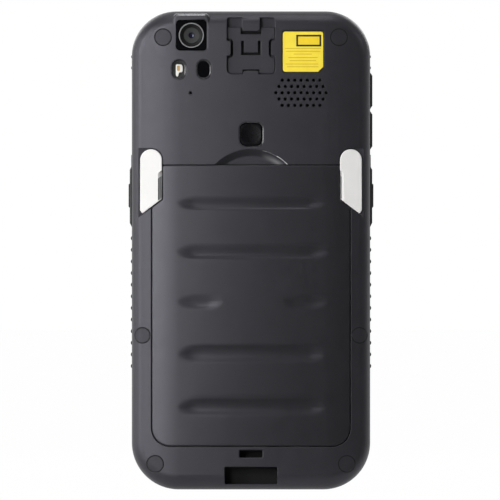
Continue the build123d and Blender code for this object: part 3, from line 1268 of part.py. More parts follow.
def build_io_board():
    with BuildPart() as board:
        add(rounded_block((48.0, BOARD_FRONT - BOARD_BACK, 12.0), (0, 3.3, 8.6), 1.5, Axis.Y))
        for x in (-10.0, 10.0):
            with Locations((x, BOARD_FRONT + 0.4, 8.6)):
                Box(6.0, 0.8, 4.0)
    return board.part


def build_screw_caps():
    """Rubber plugs over the six case screws, trimmed flush with the back."""
    with BuildPart() as caps:
        for x, z, radius, seat in SCREW_SPOTS:
            for place in (-x, x):
                add(rod(place, z, radius - 0.12, -THICKNESS, seat - HEAD_HEIGHT - 0.1))
        add(outer_form, mode=Mode.INTERSECT)
    return caps.part


def build_case_screws():
    """Six identical screws: cylinder head with a six-lobed socket, shank to the chassis."""
    with BuildPart() as screws:
        for x, z, radius, seat in SCREW_SPOTS:
            for place in (-x, x):
                add(rod(place, z, HEAD_RADIUS, seat - HEAD_HEIGHT, seat - FIT))
                add(rod(place, z, SCREW_RADIUS, seat - 0.2, SCREW_END))
                with BuildSketch(facing_back(seat - HEAD_HEIGHT + 0.7)):
                    with Locations((place, z)):
                        RegularPolygon(1.0, 6)
                extrude(amount=1, mode=Mode.SUBTRACT)
    return screws.part


def build_grip():
    """Right-hand rubber grip: strip in the side bay with a row of rounded ribs."""
    size = (GRIP_DEPTH - FIT, GRIP_FRONT - GRIP_BACK, GRIP_HIGH - GRIP_LOW)
    middle = (GRIP_BACK + GRIP_FRONT) / 2
    centre = (SIDE - (GRIP_DEPTH - FIT) / 2, middle, (GRIP_LOW + GRIP_HIGH) / 2)
    with BuildPart() as grip:
        add(rounded_block(size, centre, 1.5, Axis.X))
        for index in range(RIB_COUNT):
            place = (SIDE + RIB_PROUD - 0.9, middle, RIB_FIRST + index * RIB_PITCH)
            with Locations(Location(place, (90, 0, 0))):
                Cylinder(0.9, GRIP_FRONT - GRIP_BACK - 0.6)
        with Locations((SIDE - GRIP_DEPTH - 2 + FIT, middle, (GRIP_LOW + GRIP_HIGH) / 2)):
            Box(4, 10, 80, mode=Mode.SUBTRACT)
    return grip.part


def build_swap_switch():
    """Switch tower on the board under the square key of the back."""
    with BuildPart() as tower:
        add(rounded_block((6.0, 1.6, 6.0), (0, BOARD_BACK - FIT - 0.8, SWAP_Z), 0.6, Axis.Y))
        add(rounded_block((4.0, 7.4, 4.0), (0, -1.9, SWAP_Z), 0.5, Axis.Y))
        add(rod(0, SWAP_Z, 1.2, SWAP_BASE + SWAP_TRAVEL + 0.08, -5))
    return tower.part


def build_power_switch():
    """Side-acting switch on the board under the key of the upper end."""
    key_base = LENGTH - WALL - 0.05 - FLANGE_THICK - 0.05
    with BuildPart() as switch:
        add(rounded_block((5.0, 3.4, 3.0), (POWER_X, BOARD_BACK - FIT - 1.7, 154.4), 0.4, Axis.Z))
        with Locations((POWER_X, POWER_Y, (155.0 + key_base - POWER_TRAVEL - 0.1) / 2)):
            Cylinder(0.9, key_base - POWER_TRAVEL - 0.1 - 155.0)
    return switch.part


# ---------------------------------------------------------------- write every piece
right_lever, right_clip = build_latch_lever(), build_latch_clip()
right_scan_key, right_pad, right_grip = build_scan_key(), build_scan_pad(), build_grip()
scan_site = (PAD_LOW + PAD_HIGH) / 2
volume_sites = tuple((low + high) / 2 for low, high in VOLUME_SPANS)
left_strip = mirror(switch_strip((scan_site,), (91.0, 108.0)), about=Plane.YZ)

pieces = {
    "rear_housing": build_rear_housing(),
    "front_frame": build_front_frame(),
    "cover_glass": build_cover_glass(),
    "display_module": build_display_module(),
    "chassis_plate": build_chassis(),
    "battery_cover": build_battery_cover(),
    "battery_pack": build_battery_pack(),
    "battery_terminals": build_battery_terminals(),
    "battery_connector": build_battery_connector(),
    "battery_seal": build_battery_seal(),
    "latch_lever_right": right_lever,
    "latch_lever_left": mirror(right_lever, about=Plane.YZ),
    "latch_clip_right": right_clip,
    "latch_clip_left": mirror(right_clip, about=Plane.YZ),
    "scan_key_right": right_scan_key,
    "scan_key_left": mirror(right_scan_key, about=Plane.YZ),
    "scan_pad_right": right_pad,
    "scan_pad_left": mirror(right_pad, about=Plane.YZ),
    "volume_up_key": build_volume_key(VOLUME_SPANS[0], 1.6),
    "volume_down_key": build_volume_key(VOLUME_SPANS[1], 1.6),
    "power_key": build_power_key(),
    "swap_key": build_swap_key(),
    "key_switches_right": switch_strip((scan_site, *volume_sites), (91.0, 138.0)),
    "key_switches_left": left_strip,
    "swap_switch": build_swap_switch(),
    "power_switch": build_power_switch(),
    "grip_right": right_grip,
    "grip_left": mirror(right_grip, about=Plane.YZ),
    "main_board": build_main_board(),
    "processor_shield": build_shield(*PROCESSOR_SHIELD),
    "radio_shield": build_shield(*RADIO_SHIELD),
    "camera_window": build_camera_window(),
    "camera_ring": build_camera_ring(),
    "camera_lens": build_camera_lens(),
    "camera_module": build_camera_module(),
    "flash_window": lamp_lens(FLASH_X, FLASH_CUP),
    "flash_emitter": build_flash_emitter(),
    "distance_window": lamp_lens(TOF_X, 0),
    "sensor_bracket": build_sensor_bracket(),
    "strap_socket_plate": build_strap_plate(),
    "rear_label": build_label(),
    "speaker": build_speaker(),
    "speaker_mesh": build_speaker_mesh(),
    "microphone": build_microphone(),
    "earpiece": build_earpiece(),
    "front_camera": build_front_camera(),
    "status_light": build_status_light(),
    "vibration_motor": build_motor(),
    "scan_engine": build_scan_engine(),
    "scan_window": build_scan_window(),
    "usb_connector": build_usb_connector(),
    "dock_contacts": build_dock_contacts(),
    "io_board": build_io_board(),
    "screw_caps": build_screw_caps(),
    "case_screws": build_case_screws(),
}
for name, piece in pieces.items():
    finish(piece, name)
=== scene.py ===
"""Finishes, fine trim, studio and camera for the handheld barcode terminal."""

import logging
import math
from collections.abc import Callable, Iterable
from dataclasses import dataclass, replace
from enum import Enum

import bmesh
import bpy
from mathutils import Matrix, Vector
from mathutils.bvhtree import BVHTree


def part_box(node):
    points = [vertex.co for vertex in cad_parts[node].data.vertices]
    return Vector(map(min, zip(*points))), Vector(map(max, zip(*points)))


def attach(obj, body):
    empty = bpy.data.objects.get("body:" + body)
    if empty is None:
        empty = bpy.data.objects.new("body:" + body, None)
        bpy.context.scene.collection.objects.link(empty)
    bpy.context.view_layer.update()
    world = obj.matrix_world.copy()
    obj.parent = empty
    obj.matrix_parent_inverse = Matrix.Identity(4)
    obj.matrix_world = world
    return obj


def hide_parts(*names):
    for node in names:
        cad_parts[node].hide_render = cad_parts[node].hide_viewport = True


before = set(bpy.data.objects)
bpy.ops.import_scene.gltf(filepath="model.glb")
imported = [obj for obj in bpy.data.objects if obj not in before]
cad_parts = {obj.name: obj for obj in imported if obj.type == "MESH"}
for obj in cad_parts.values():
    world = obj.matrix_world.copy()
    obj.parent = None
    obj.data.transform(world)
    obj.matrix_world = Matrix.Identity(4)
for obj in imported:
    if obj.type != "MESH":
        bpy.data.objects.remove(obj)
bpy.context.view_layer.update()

log = logging.getLogger("terminal")

MM = 0.001
BACK = -9.0 * MM
CROWN_RADIUS, CROWN_HALF, SHOULDER_RADIUS = 300.0 * MM, 24.0 * MM, 70.0 * MM
SIDES = (-1, 1)
# Vertices closer than this are one. Edges flatter than the angle are shaded smooth.
WELD, SMOOTH_ANGLE = 1e-7, math.radians(35.0)
# Corner radius of an oval as a share of its half width, short of 1 so that no side has no length.
OVAL_SHARE = 0.999
# Range that nearly all of a noise's values fall in.
SPAN = (0.3, 0.7)
CLOUD_CELL = 7.0 * MM

Point = tuple[float, float, float]
Spot = tuple[float, float]
Colour = tuple[float, float, float]
Face = tuple[int, ...]
Mesh = tuple[list[Point], list[Face]]
Depth = Callable[[float, float], float]
Socket = bpy.types.NodeSocket
Material = bpy.types.Material


class Body(Enum):
    """Rigid bodies that a piece can ride on."""

    TERMINAL = "terminal"
    BATTERY = "battery"
    LATCH_LEFT = "latch_left"
    LATCH_RIGHT = "latch_right"


class Brink(Enum):
    """How the upper edge of a grip groove begins."""

    SOFT = "soft"
    CRISP = "crisp"


class Grain(Enum):
    """Kinds of surface texture a moulded piece comes out of its tool with."""

    SPARK = "spark"
    SATIN = "satin"
    POLISHED = "polished"


# Each grain's noise (cell, detail and share of the finer octaves), then its depth and strength.
RELIEFS = {
    Grain.SPARK: (0.16 * MM, 3.0, 0.65, 0.010 * MM, 0.75),
    Grain.SATIN: (0.22 * MM, 2.0, 0.50, 0.004 * MM, 0.6),
    Grain.POLISHED: (5.0 * MM, 1.0, 0.55, 0.006 * MM, 0.4),
}


# ---------------------------------------------------------------- finishes
class NodeTree:
    """Lays out the nodes of one tree."""

    def __init__(self, tree: bpy.types.NodeTree) -> None:
        """Empties the tree.

        Args:
            tree: The tree to fill.
        """
        self.tree = tree
        self.tree.nodes.clear()

    def add(self, kind: str, **settings: object) -> bpy.types.Node:
        """Adds a node and sets its properties.

        Args:
            kind: Blender's type name of the node.
            **settings: Properties of the node, by name.

        Returns:
            The new node.
        """
        node = self.tree.nodes.new(kind)
        for key, value in settings.items():
            setattr(node, key, value)
        return node

    def feed(self, socket: Socket, value: object) -> None:
        """Links an output to a socket, or sets the socket's own value.

        Args:
            socket: The input.
            value: An output socket, a number or a colour.
        """
        if isinstance(value, Socket):
            self.tree.links.new(value, socket)
        elif isinstance(value, tuple) and len(value) == 3 and socket.type == "RGBA":
            socket.default_value = (*value, 1.0)
        else:
            socket.default_value = value

    def spread(
        self, value: Socket, low: float, high: float, to_low: float, to_high: float
    ) -> Socket:
        """Maps a value from one range to another, clamped.

        Args:
            value: The incoming value.
            low: Start of the incoming range.
            high: End of the incoming range.
            to_low: Result at low.
            to_high: Result at high.

        Returns:
            The mapped value.
        """
        node = self.add("ShaderNodeMapRange")
        self.feed(node.inputs["Value"], value)
        names = ("From Min", "From Max", "To Min", "To Max")
        for name, number in zip(names, (low, high, to_low, to_high)):
            node.inputs[name].default_value = number
        return node.outputs["Result"]

    def maths(self, first: object, second: object, operation: str = "ADD") -> Socket:
        """Joins two numbers by an arithmetic operation.

        Args:
            first: A number or an output.
            second: A number or an output.
            operation: Blender's name of the operation.

        Returns:
            The result.
        """
        node = self.add("ShaderNodeMath", operation=operation)
        self.feed(node.inputs[0], first)
        self.feed(node.inputs[1], second)
        return node.outputs[0]


class NodeSheet(NodeTree):
    """Lays out the nodes of one material."""

    sharp, flat = 0.80, 0.995

    def __init__(self, name: str) -> None:
        """Starts an empty material.

        Args:
            name: Name of the material.
        """
        self.material = bpy.data.materials.new(name)
        self.material.use_nodes = True
        super().__init__(self.material.node_tree)
        self.place = self.add("ShaderNodeTexCoord").outputs["Object"]

    def stretched(self, scale: Point, turn: Point = (0.0, 0.0, 0.0)) -> Socket:
        """Object coordinates scaled and turned.

        Args:
            scale: Factor along each axis.
            turn: Rotation in radians.

        Returns:
            The vector output.
        """
        mapping = self.add("ShaderNodeMapping")
        self.feed(mapping.inputs["Vector"], self.place)
        mapping.inputs["Scale"].default_value = scale
        mapping.inputs["Rotation"].default_value = turn
        return mapping.outputs["Vector"]

    def noise(
        self, cell: float, detail: float = 3.0, rough: float = 0.55, vector: Socket | None = None
    ) -> Socket:
        """Noise with features of a given size.

        Args:
            cell: Size of the features in metres.
            detail: Number of octaves.
            rough: Weight of the finer octaves.
            vector: Coordinates, or the object's own.

        Returns:
            The factor output.
        """
        node = self.add("ShaderNodeTexNoise")
        self.feed(node.inputs["Vector"], vector or self.place)
        node.inputs["Scale"].default_value = 1.0 / cell
        node.inputs["Detail"].default_value = detail
        node.inputs["Roughness"].default_value = rough
        return node.outputs["Fac"]

    def cells(self, cell: float) -> Socket:
        """Distance field of small packed cells.

        Args:
            cell: Size of a cell in metres.

        Returns:
            The distance output.
        """
        node = self.add("ShaderNodeTexVoronoi", feature="F1")
        self.feed(node.inputs["Vector"], self.place)
        node.inputs["Scale"].default_value = 1.0 / cell
        return node.outputs["Distance"]

    def blend(self, factor: object, first: object, second: object) -> Socket:
        """Mixes two colours.

        Args:
            factor: Share of the second colour.
            first: A colour or an output.
            second: A colour or an output.

        Returns:
            The mixed colour.
        """
        node = self.add("ShaderNodeMix", data_type="RGBA")
        self.feed(node.inputs[0], factor)
        self.feed(node.inputs[6], first)
        self.feed(node.inputs[7], second)
        return node.outputs[2]

    def tinted(
        self, height: Socket, span: Spot, most: float, first: object, second: object
    ) -> Socket:
        """Mixes two colours by a height field, up to a share of the second one."""
        return self.blend(self.spread(height, *span, 0.0, most), first, second)

    def uneven(
        self, height: Socket, middle: float, less: float, more: float, span: Spot = SPAN
    ) -> Socket:
        """Roughness that a height field takes below and above a middle value."""
        return self.spread(height, *span, middle - less, middle + more)

    def bump(
        self, height: Socket, depth: float, normal: Socket | None = None, strength: float = 1.0
    ) -> Socket:
        """Bump of a given depth.

        Args:
            height: Height field from 0 to 1.
            depth: Depth in metres.
            normal: Normal to start from.
            strength: Share of the effect.

        Returns:
            The normal output.
        """
        node = self.add("ShaderNodeBump")
        node.inputs["Strength"].default_value = strength
        node.inputs["Distance"].default_value = depth
        self.feed(node.inputs["Height"], height)
        if normal is not None:
            self.feed(node.inputs["Normal"], normal)
        return node.outputs["Normal"]

    def relief(self, grain: Grain, normal: Socket) -> Socket:
        """Bump of a moulded grain over a normal."""
        cell, detail, rough, depth, strength = RELIEFS[grain]
        return self.bump(self.noise(cell, detail, rough), depth, normal, strength)

    def edges(self, radius: float) -> tuple[Socket, Socket]:
        """Softened edge normal and a mask that is 1 on sharp edges.

        Args:
            radius: Radius of the softening in metres.

        Returns:
            The normal and the mask.
        """
        bevel = self.add("ShaderNodeBevel", samples=4)
        bevel.inputs["Radius"].default_value = radius
        flat = self.add("ShaderNodeNewGeometry").outputs["Normal"]
        dot = self.add("ShaderNodeVectorMath", operation="DOT_PRODUCT")
        self.feed(dot.inputs[0], bevel.outputs["Normal"])
        self.feed(dot.inputs[1], flat)
        mask = self.spread(dot.outputs["Value"], self.sharp, self.flat, 1.0, 0.0)
        return bevel.outputs["Normal"], mask

    def surface(self, **inputs: object) -> Material:
        """Finishes the material with one principled shader.

        Args:
            **inputs: The shader's inputs, with underscores for spaces.

        Returns:
            The material.
        """
        shader = self.add("ShaderNodeBsdfPrincipled")
        for key, value in inputs.items():
            self.feed(shader.inputs[key.replace("_", " ")], value)
        output = self.add("ShaderNodeOutputMaterial")
        self.feed(output.inputs["Surface"], shader.outputs["BSDF"])
        return self.material


@dataclass(frozen=True)
class Moulding:
    """Moulded plastic with the grain of its tool, faint flow mottle and polished edges."""

    name: str
    colour: Colour
    roughness: float
    grain: Grain = Grain.SPARK
    specular: float = 0.4
    edge_radius: float = 0.18 * MM
    edge_lift: float = 1.35
    mottle: float = 0.10
    scuff_cell: float = 1.6 * MM
    wear: tuple[float, ...] = (0.42, 0.62, 0.25, 1.0)
    unevenness: float = 0.035
    pit_cell: float = 0.30 * MM
    pit_depth: float = 0.006 * MM
    pit_strength: float = 0.5
    tint: Colour = (1.0, 1.0, 1.0)

    def material(self) -> Material:
        """Builds the material.

        Returns:
            The material.
        """
        sheet = NodeSheet(self.name)
        soft, edge = sheet.edges(self.edge_radius)
        cloud = sheet.noise(CLOUD_CELL, detail=4.0)
        dark = tuple(c * (1.0 - self.mottle) for c in self.colour)
        pale = tuple(c * (1.0 + self.mottle) for c in self.colour)
        worn = tuple(min(1.0, c * self.edge_lift) for c in self.colour)
        body = sheet.tinted(cloud, SPAN, 1.0, dark, pale)
        scuffs = sheet.noise(self.scuff_cell, detail=5.0, rough=0.7)
        wear = sheet.maths(edge, sheet.spread(scuffs, *self.wear), "MULTIPLY")
        base = sheet.blend(wear, body, worn)
        gloss = sheet.uneven(scuffs, self.roughness, self.unevenness, self.unevenness)
        normal = sheet.relief(self.grain, soft)
        if self.grain is Grain.SPARK:
            pits = sheet.cells(self.pit_cell)
            normal = sheet.bump(pits, self.pit_depth, normal, self.pit_strength)
        return sheet.surface(
            Base_Color=base,
            Roughness=gloss,
            Normal=normal,
            Specular_IOR_Level=self.specular,
            Specular_Tint=self.tint,
        )


@dataclass(frozen=True)
class SheenPaintedWall:
    """Moulded wall of the finger dish, with a pale arc painted on its right wall as a highlight."""

    name: str
    colour: Colour
    painted_sheen: Colour
    tint: Colour
    middle: float = 97.3 * MM
    reach: float = 15.05 * MM
    half: float = 1.25 * MM
    run: Spot = (3.4 * MM, 8.6 * MM)
    patch_cell: float = 0.8 * MM
    mottle: float = 0.08
    roughness: float = 0.42
    specular: float = 0.62

    def material(self) -> Material:
        """Builds the material.

        Returns:
            The material.
        """
        sheet = NodeSheet(self.name)
        soft, _ = sheet.edges(0.2 * MM)
        # The arc is a painted highlight: a pale band at a set reach from the dish's middle that
        # fades in towards the right.
        spot = sheet.add("ShaderNodeSeparateXYZ")
        sheet.feed(spot.inputs[0], sheet.place)
        across, rise = spot.outputs["X"], sheet.maths(spot.outputs["Z"], self.middle, "SUBTRACT")
        squares = [sheet.maths(value, value, "MULTIPLY") for value in (across, rise)]
        distance = sheet.maths(sheet.maths(*squares), 0.5, "POWER")
        off = sheet.maths(sheet.maths(distance, self.reach, "SUBTRACT"), 0.0, "ABSOLUTE")
        arc = sheet.spread(off, 0.0, self.half, 1.0, 0.0)
        arc = sheet.maths(arc, sheet.spread(across, *self.run, 0.0, 1.0), "MULTIPLY")
        patches = sheet.noise(self.patch_cell, detail=4.0)
        arc = sheet.maths(arc, sheet.spread(patches, *SPAN, 0.88, 1.0), "MULTIPLY")
        pale = tuple(c * (1.0 + self.mottle) for c in self.colour)
        cloud = sheet.noise(CLOUD_CELL, detail=4.0)
        body = sheet.tinted(cloud, SPAN, 1.0, self.colour, pale)
        return sheet.surface(
            Base_Color=sheet.blend(arc, body, self.painted_sheen),
            Roughness=self.roughness,
            Normal=sheet.relief(Grain.SPARK, soft),
            Specular_IOR_Level=self.specular,
            Specular_Tint=self.tint,
        )


@dataclass(frozen=True)
class Rubber:
    """Soft moulded rubber with a fine dusty bloom in its pores."""

    name: str
    colour: Colour
    roughness: float = 0.72
    bloom: float = 0.25
    edge_radius: float = 0.15 * MM
    edge_share: float = 0.35
    pore: float = 0.12 * MM
    pore_depth: float = 0.014 * MM
    dust_cell: float = 2.5 * MM

    def material(self) -> Material:
        """Builds the material.

        Returns:
            The material.
        """
        sheet = NodeSheet(self.name)
        soft, edge = sheet.edges(self.edge_radius)
        pores = sheet.noise(self.pore, detail=4.0, rough=0.7)
        dust = sheet.noise(self.dust_cell, detail=5.0, rough=0.65)
        pale = tuple(min(1.0, c * (1.0 + self.bloom) + 0.006) for c in self.colour)
        base = sheet.tinted(dust, (0.4, 0.75), 0.8, self.colour, pale)
        return sheet.surface(
            Base_Color=sheet.blend(sheet.maths(edge, self.edge_share, "MULTIPLY"), base, pale),
            Roughness=sheet.uneven(dust, self.roughness, 0.05, 0.06),
            Normal=sheet.bump(pores, self.pore_depth, soft, 0.8),
            Specular_IOR_Level=0.3,
            Sheen_Weight=0.08,
        )


@dataclass(frozen=True)
class Metal:
    """Drawn, turned or cast metal with directional marks."""

    name: str
    colour: Colour
    roughness: float = 0.3
    marks: Point = (1.0, 18.0, 1.0)
    metallic: float = 1.0
    mark_cell: float = 0.5 * MM
    mark_depth: float = 0.003 * MM
    stain_cell: float = 3.0 * MM
    stain: float = 0.82

    def material(self) -> Material:
        """Builds the material.

        Returns:
            The material.
        """
        sheet = NodeSheet(self.name)
        lines = sheet.noise(self.mark_cell, detail=4.0, vector=sheet.stretched(self.marks))
        stain = sheet.noise(self.stain_cell, detail=3.0)
        dull = tuple(c * self.stain for c in self.colour)
        return sheet.surface(
            Base_Color=sheet.tinted(stain, (0.35, 0.7), 0.7, self.colour, dull),
            Roughness=sheet.uneven(lines, self.roughness, 0.06, 0.10),
            Normal=sheet.bump(lines, self.mark_depth, None, 0.6),
            Metallic=self.metallic,
        )


@dataclass(frozen=True)
class Film:
    """Printed polyester film: even colour, faint orange peel and a satin face."""

    name: str
    colour: Colour
    roughness: float = 0.38
    deepening: Colour = (0.96, 0.93, 0.85)
    peel_cell: float = 0.7 * MM
    peel_depth: float = 0.003 * MM
    tone_cell: float = 4.0 * MM

    def material(self) -> Material:
        """Builds the material.

        Returns:
            The material.
        """
        sheet = NodeSheet(self.name)
        peel = sheet.noise(self.peel_cell, detail=2.0)
        tone = sheet.noise(self.tone_cell, detail=2.0)
        deep = tuple(c * share for c, share in zip(self.colour, self.deepening))
        return sheet.surface(
            Base_Color=sheet.tinted(tone, (0.35, 0.65), 1.0, self.colour, deep),
            Roughness=sheet.uneven(peel, self.roughness, 0.04, 0.05),
            Normal=sheet.bump(peel, self.peel_depth, None, 0.5),
            Specular_IOR_Level=0.4,
        )


@dataclass(frozen=True)
class DarkGlass:
    """Polished black window or cover glass with faint wipe marks in its gloss."""

    name: str
    colour: Colour
    tint: Colour = (0.005, 0.0055, 0.009)
    roughness: float = 0.06
    specular: float = 0.35
    wipe_cell: float = 6.0 * MM
    wipe_scale: Point = (1.0, 1.0, 0.25)
    cloud_cell: float = 18.0 * MM

    def material(self) -> Material:
        """Builds the material.

        Returns:
            The material.
        """
        sheet = NodeSheet(self.name)
        wipe = sheet.noise(self.wipe_cell, detail=4.0, vector=sheet.stretched(self.wipe_scale))
        cloud = sheet.noise(self.cloud_cell, detail=2.0)
        return sheet.surface(
            Base_Color=sheet.tinted(cloud, SPAN, 0.12, self.colour, self.tint),
            Roughness=sheet.uneven(wipe, self.roughness, 0.02, 0.07, (0.35, 0.75)),
            Specular_IOR_Level=self.specular,
        )


@dataclass(frozen=True)
class CoatedLens:
    """Front element of a lens: dark, sharply glossy, with a coloured coating."""

    name: str
    colour: Colour = (0.006, 0.007, 0.012)
    haze: Colour = (0.02, 0.014, 0.05)
    haze_cell: float = 1.2 * MM
    roughness: Spot = (0.02, 0.06)
    film: float = 420.0
    film_index: float = 1.38

    def material(self) -> Material:
        """Builds the material.

        Returns:
            The material.
        """
        sheet = NodeSheet(self.name)
        cloud = sheet.noise(self.haze_cell, detail=2.0)
        return sheet.surface(
            Base_Color=sheet.tinted(cloud, SPAN, 0.35, self.colour, self.haze),
            Roughness=sheet.spread(cloud, *SPAN, *self.roughness),
            Specular_IOR_Level=0.25,
            Coat_Weight=0.15,
            Coat_Roughness=0.08,
            Thin_Film_Thickness=self.film,
            Thin_Film_IOR=self.film_index,
        )


@dataclass(frozen=True)
class ClearLens:
    """Clear moulded lens with a frosted underside."""

    name: str
    colour: Colour = (0.93, 0.93, 0.88)
    frosted: Colour = (0.80, 0.82, 0.80)
    frost_cell: float = 0.35 * MM
    frost_depth: float = 0.02 * MM
    roughness: Spot = (0.10, 0.32)

    def material(self) -> Material:
        """Builds the material.

        Returns:
            The material.
        """
        sheet = NodeSheet(self.name)
        frost = sheet.cells(self.frost_cell)
        return sheet.surface(
            Base_Color=sheet.tinted(frost, (0.0, 0.8), 0.5, self.colour, self.frosted),
            Roughness=sheet.spread(frost, 0.1, 0.7, *self.roughness),
            Normal=sheet.bump(frost, self.frost_depth, None, 0.6),
            Transmission_Weight=0.55,
            IOR=1.49,
        )


@dataclass(frozen=True)
class Phosphor:
    """Grainy yellow phosphor over a light-emitting chip."""

    name: str
    colour: Colour = (0.88, 0.66, 0.16)
    grain: float = 0.10 * MM
    grain_depth: float = 0.02 * MM

    def material(self) -> Material:
        """Builds the material.

        Returns:
            The material.
        """
        sheet = NodeSheet(self.name)
        grains = sheet.cells(self.grain)
        light = tuple(min(1.0, c * 1.12 + 0.05) for c in self.colour)
        return sheet.surface(
            Base_Color=sheet.tinted(grains, (0.1, 0.6), 1.0, self.colour, light),
            Roughness=0.5,
            Normal=sheet.bump(grains, self.grain_depth),
            Subsurface_Weight=0.1,
        )


@dataclass(frozen=True)
class CircuitBoard:
    """Solder mask over copper tracks."""

    name: str
    mask: Colour = (0.010, 0.075, 0.035)
    copper: Colour = (0.030, 0.140, 0.060)
    tracks: Point = (420.0, 420.0, 420.0)
    gap: float = 0.035
    pour_cell: float = 5.0 * MM
    track_height: float = 0.02 * MM
    stain_cell: float = 2.0 * MM
    roughness: Spot = (0.28, 0.40)

    def material(self) -> Material:
        """Builds the material.

        Returns:
            The material.
        """
        sheet = NodeSheet(self.name)
        grid = sheet.add("ShaderNodeTexBrick")
        upright = (math.pi / 2, 0.0, 0.0)
        sheet.feed(grid.inputs["Vector"], sheet.stretched(self.tracks, upright))
        grid.inputs["Mortar Size"].default_value = self.gap
        track = sheet.spread(grid.outputs["Fac"], 0.0, 1.0, 0.0, 1.0)
        pour = sheet.spread(sheet.cells(self.pour_cell), 0.30, 0.34, 0.0, 0.6)
        lines = sheet.maths(track, pour, "MAXIMUM")
        return sheet.surface(
            Base_Color=sheet.blend(lines, self.mask, self.copper),
            Roughness=sheet.spread(sheet.noise(self.stain_cell), *SPAN, *self.roughness),
            Normal=sheet.bump(lines, self.track_height, None, 0.5),
        )


@dataclass(frozen=True)
class WovenMesh:
    """Acoustic cloth of black monofilament."""

    name: str
    colour: Colour = (0.030, 0.030, 0.032)
    pitch: float = 0.12 * MM
    turn: float = 6.2832
    shade: float = 0.25
    thread_depth: float = 0.03 * MM

    def material(self) -> Material:
        """Builds the material.

        Returns:
            The material.
        """
        sheet = NodeSheet(self.name)
        threads = []
        for axis in ("X", "Z"):
            wave = sheet.add("ShaderNodeTexWave", wave_type="BANDS", bands_direction=axis)
            sheet.feed(wave.inputs["Vector"], sheet.place)
            wave.inputs["Scale"].default_value = 1.0 / self.pitch / self.turn
            threads.append(wave.outputs["Fac"])
        weave = sheet.maths(*threads, "MAXIMUM")
        return sheet.surface(
            Base_Color=sheet.blend(weave, tuple(c * self.shade for c in self.colour), self.colour),
            Roughness=0.6,
            Normal=sheet.bump(weave, self.thread_depth),
        )


@dataclass(frozen=True)
class CellWrap:
    """Shrink film drawn tight over battery cells."""

    name: str
    colour: Colour = (0.040, 0.041, 0.046)
    dusting: float = 1.5
    dust_cell: float = 1.0 * MM
    fold_cell: float = 9.0 * MM
    fold_scale: Point = (1.0, 1.0, 0.2)
    fold_depth: float = 0.12 * MM
    roughness: Spot = (0.24, 0.42)

    def material(self) -> Material:
        """Builds the material.

        Returns:
            The material.
        """
        sheet = NodeSheet(self.name)
        folds = sheet.noise(self.fold_cell, detail=4.0, vector=sheet.stretched(self.fold_scale))
        dust = sheet.noise(self.dust_cell, detail=3.0)
        dusty = tuple(c * self.dusting for c in self.colour)
        return sheet.surface(
            Base_Color=sheet.tinted(dust, (0.35, 0.7), 0.6, self.colour, dusty),
            Roughness=sheet.spread(folds, *SPAN, *self.roughness),
            Normal=sheet.bump(folds, self.fold_depth, None, 0.35),
        )


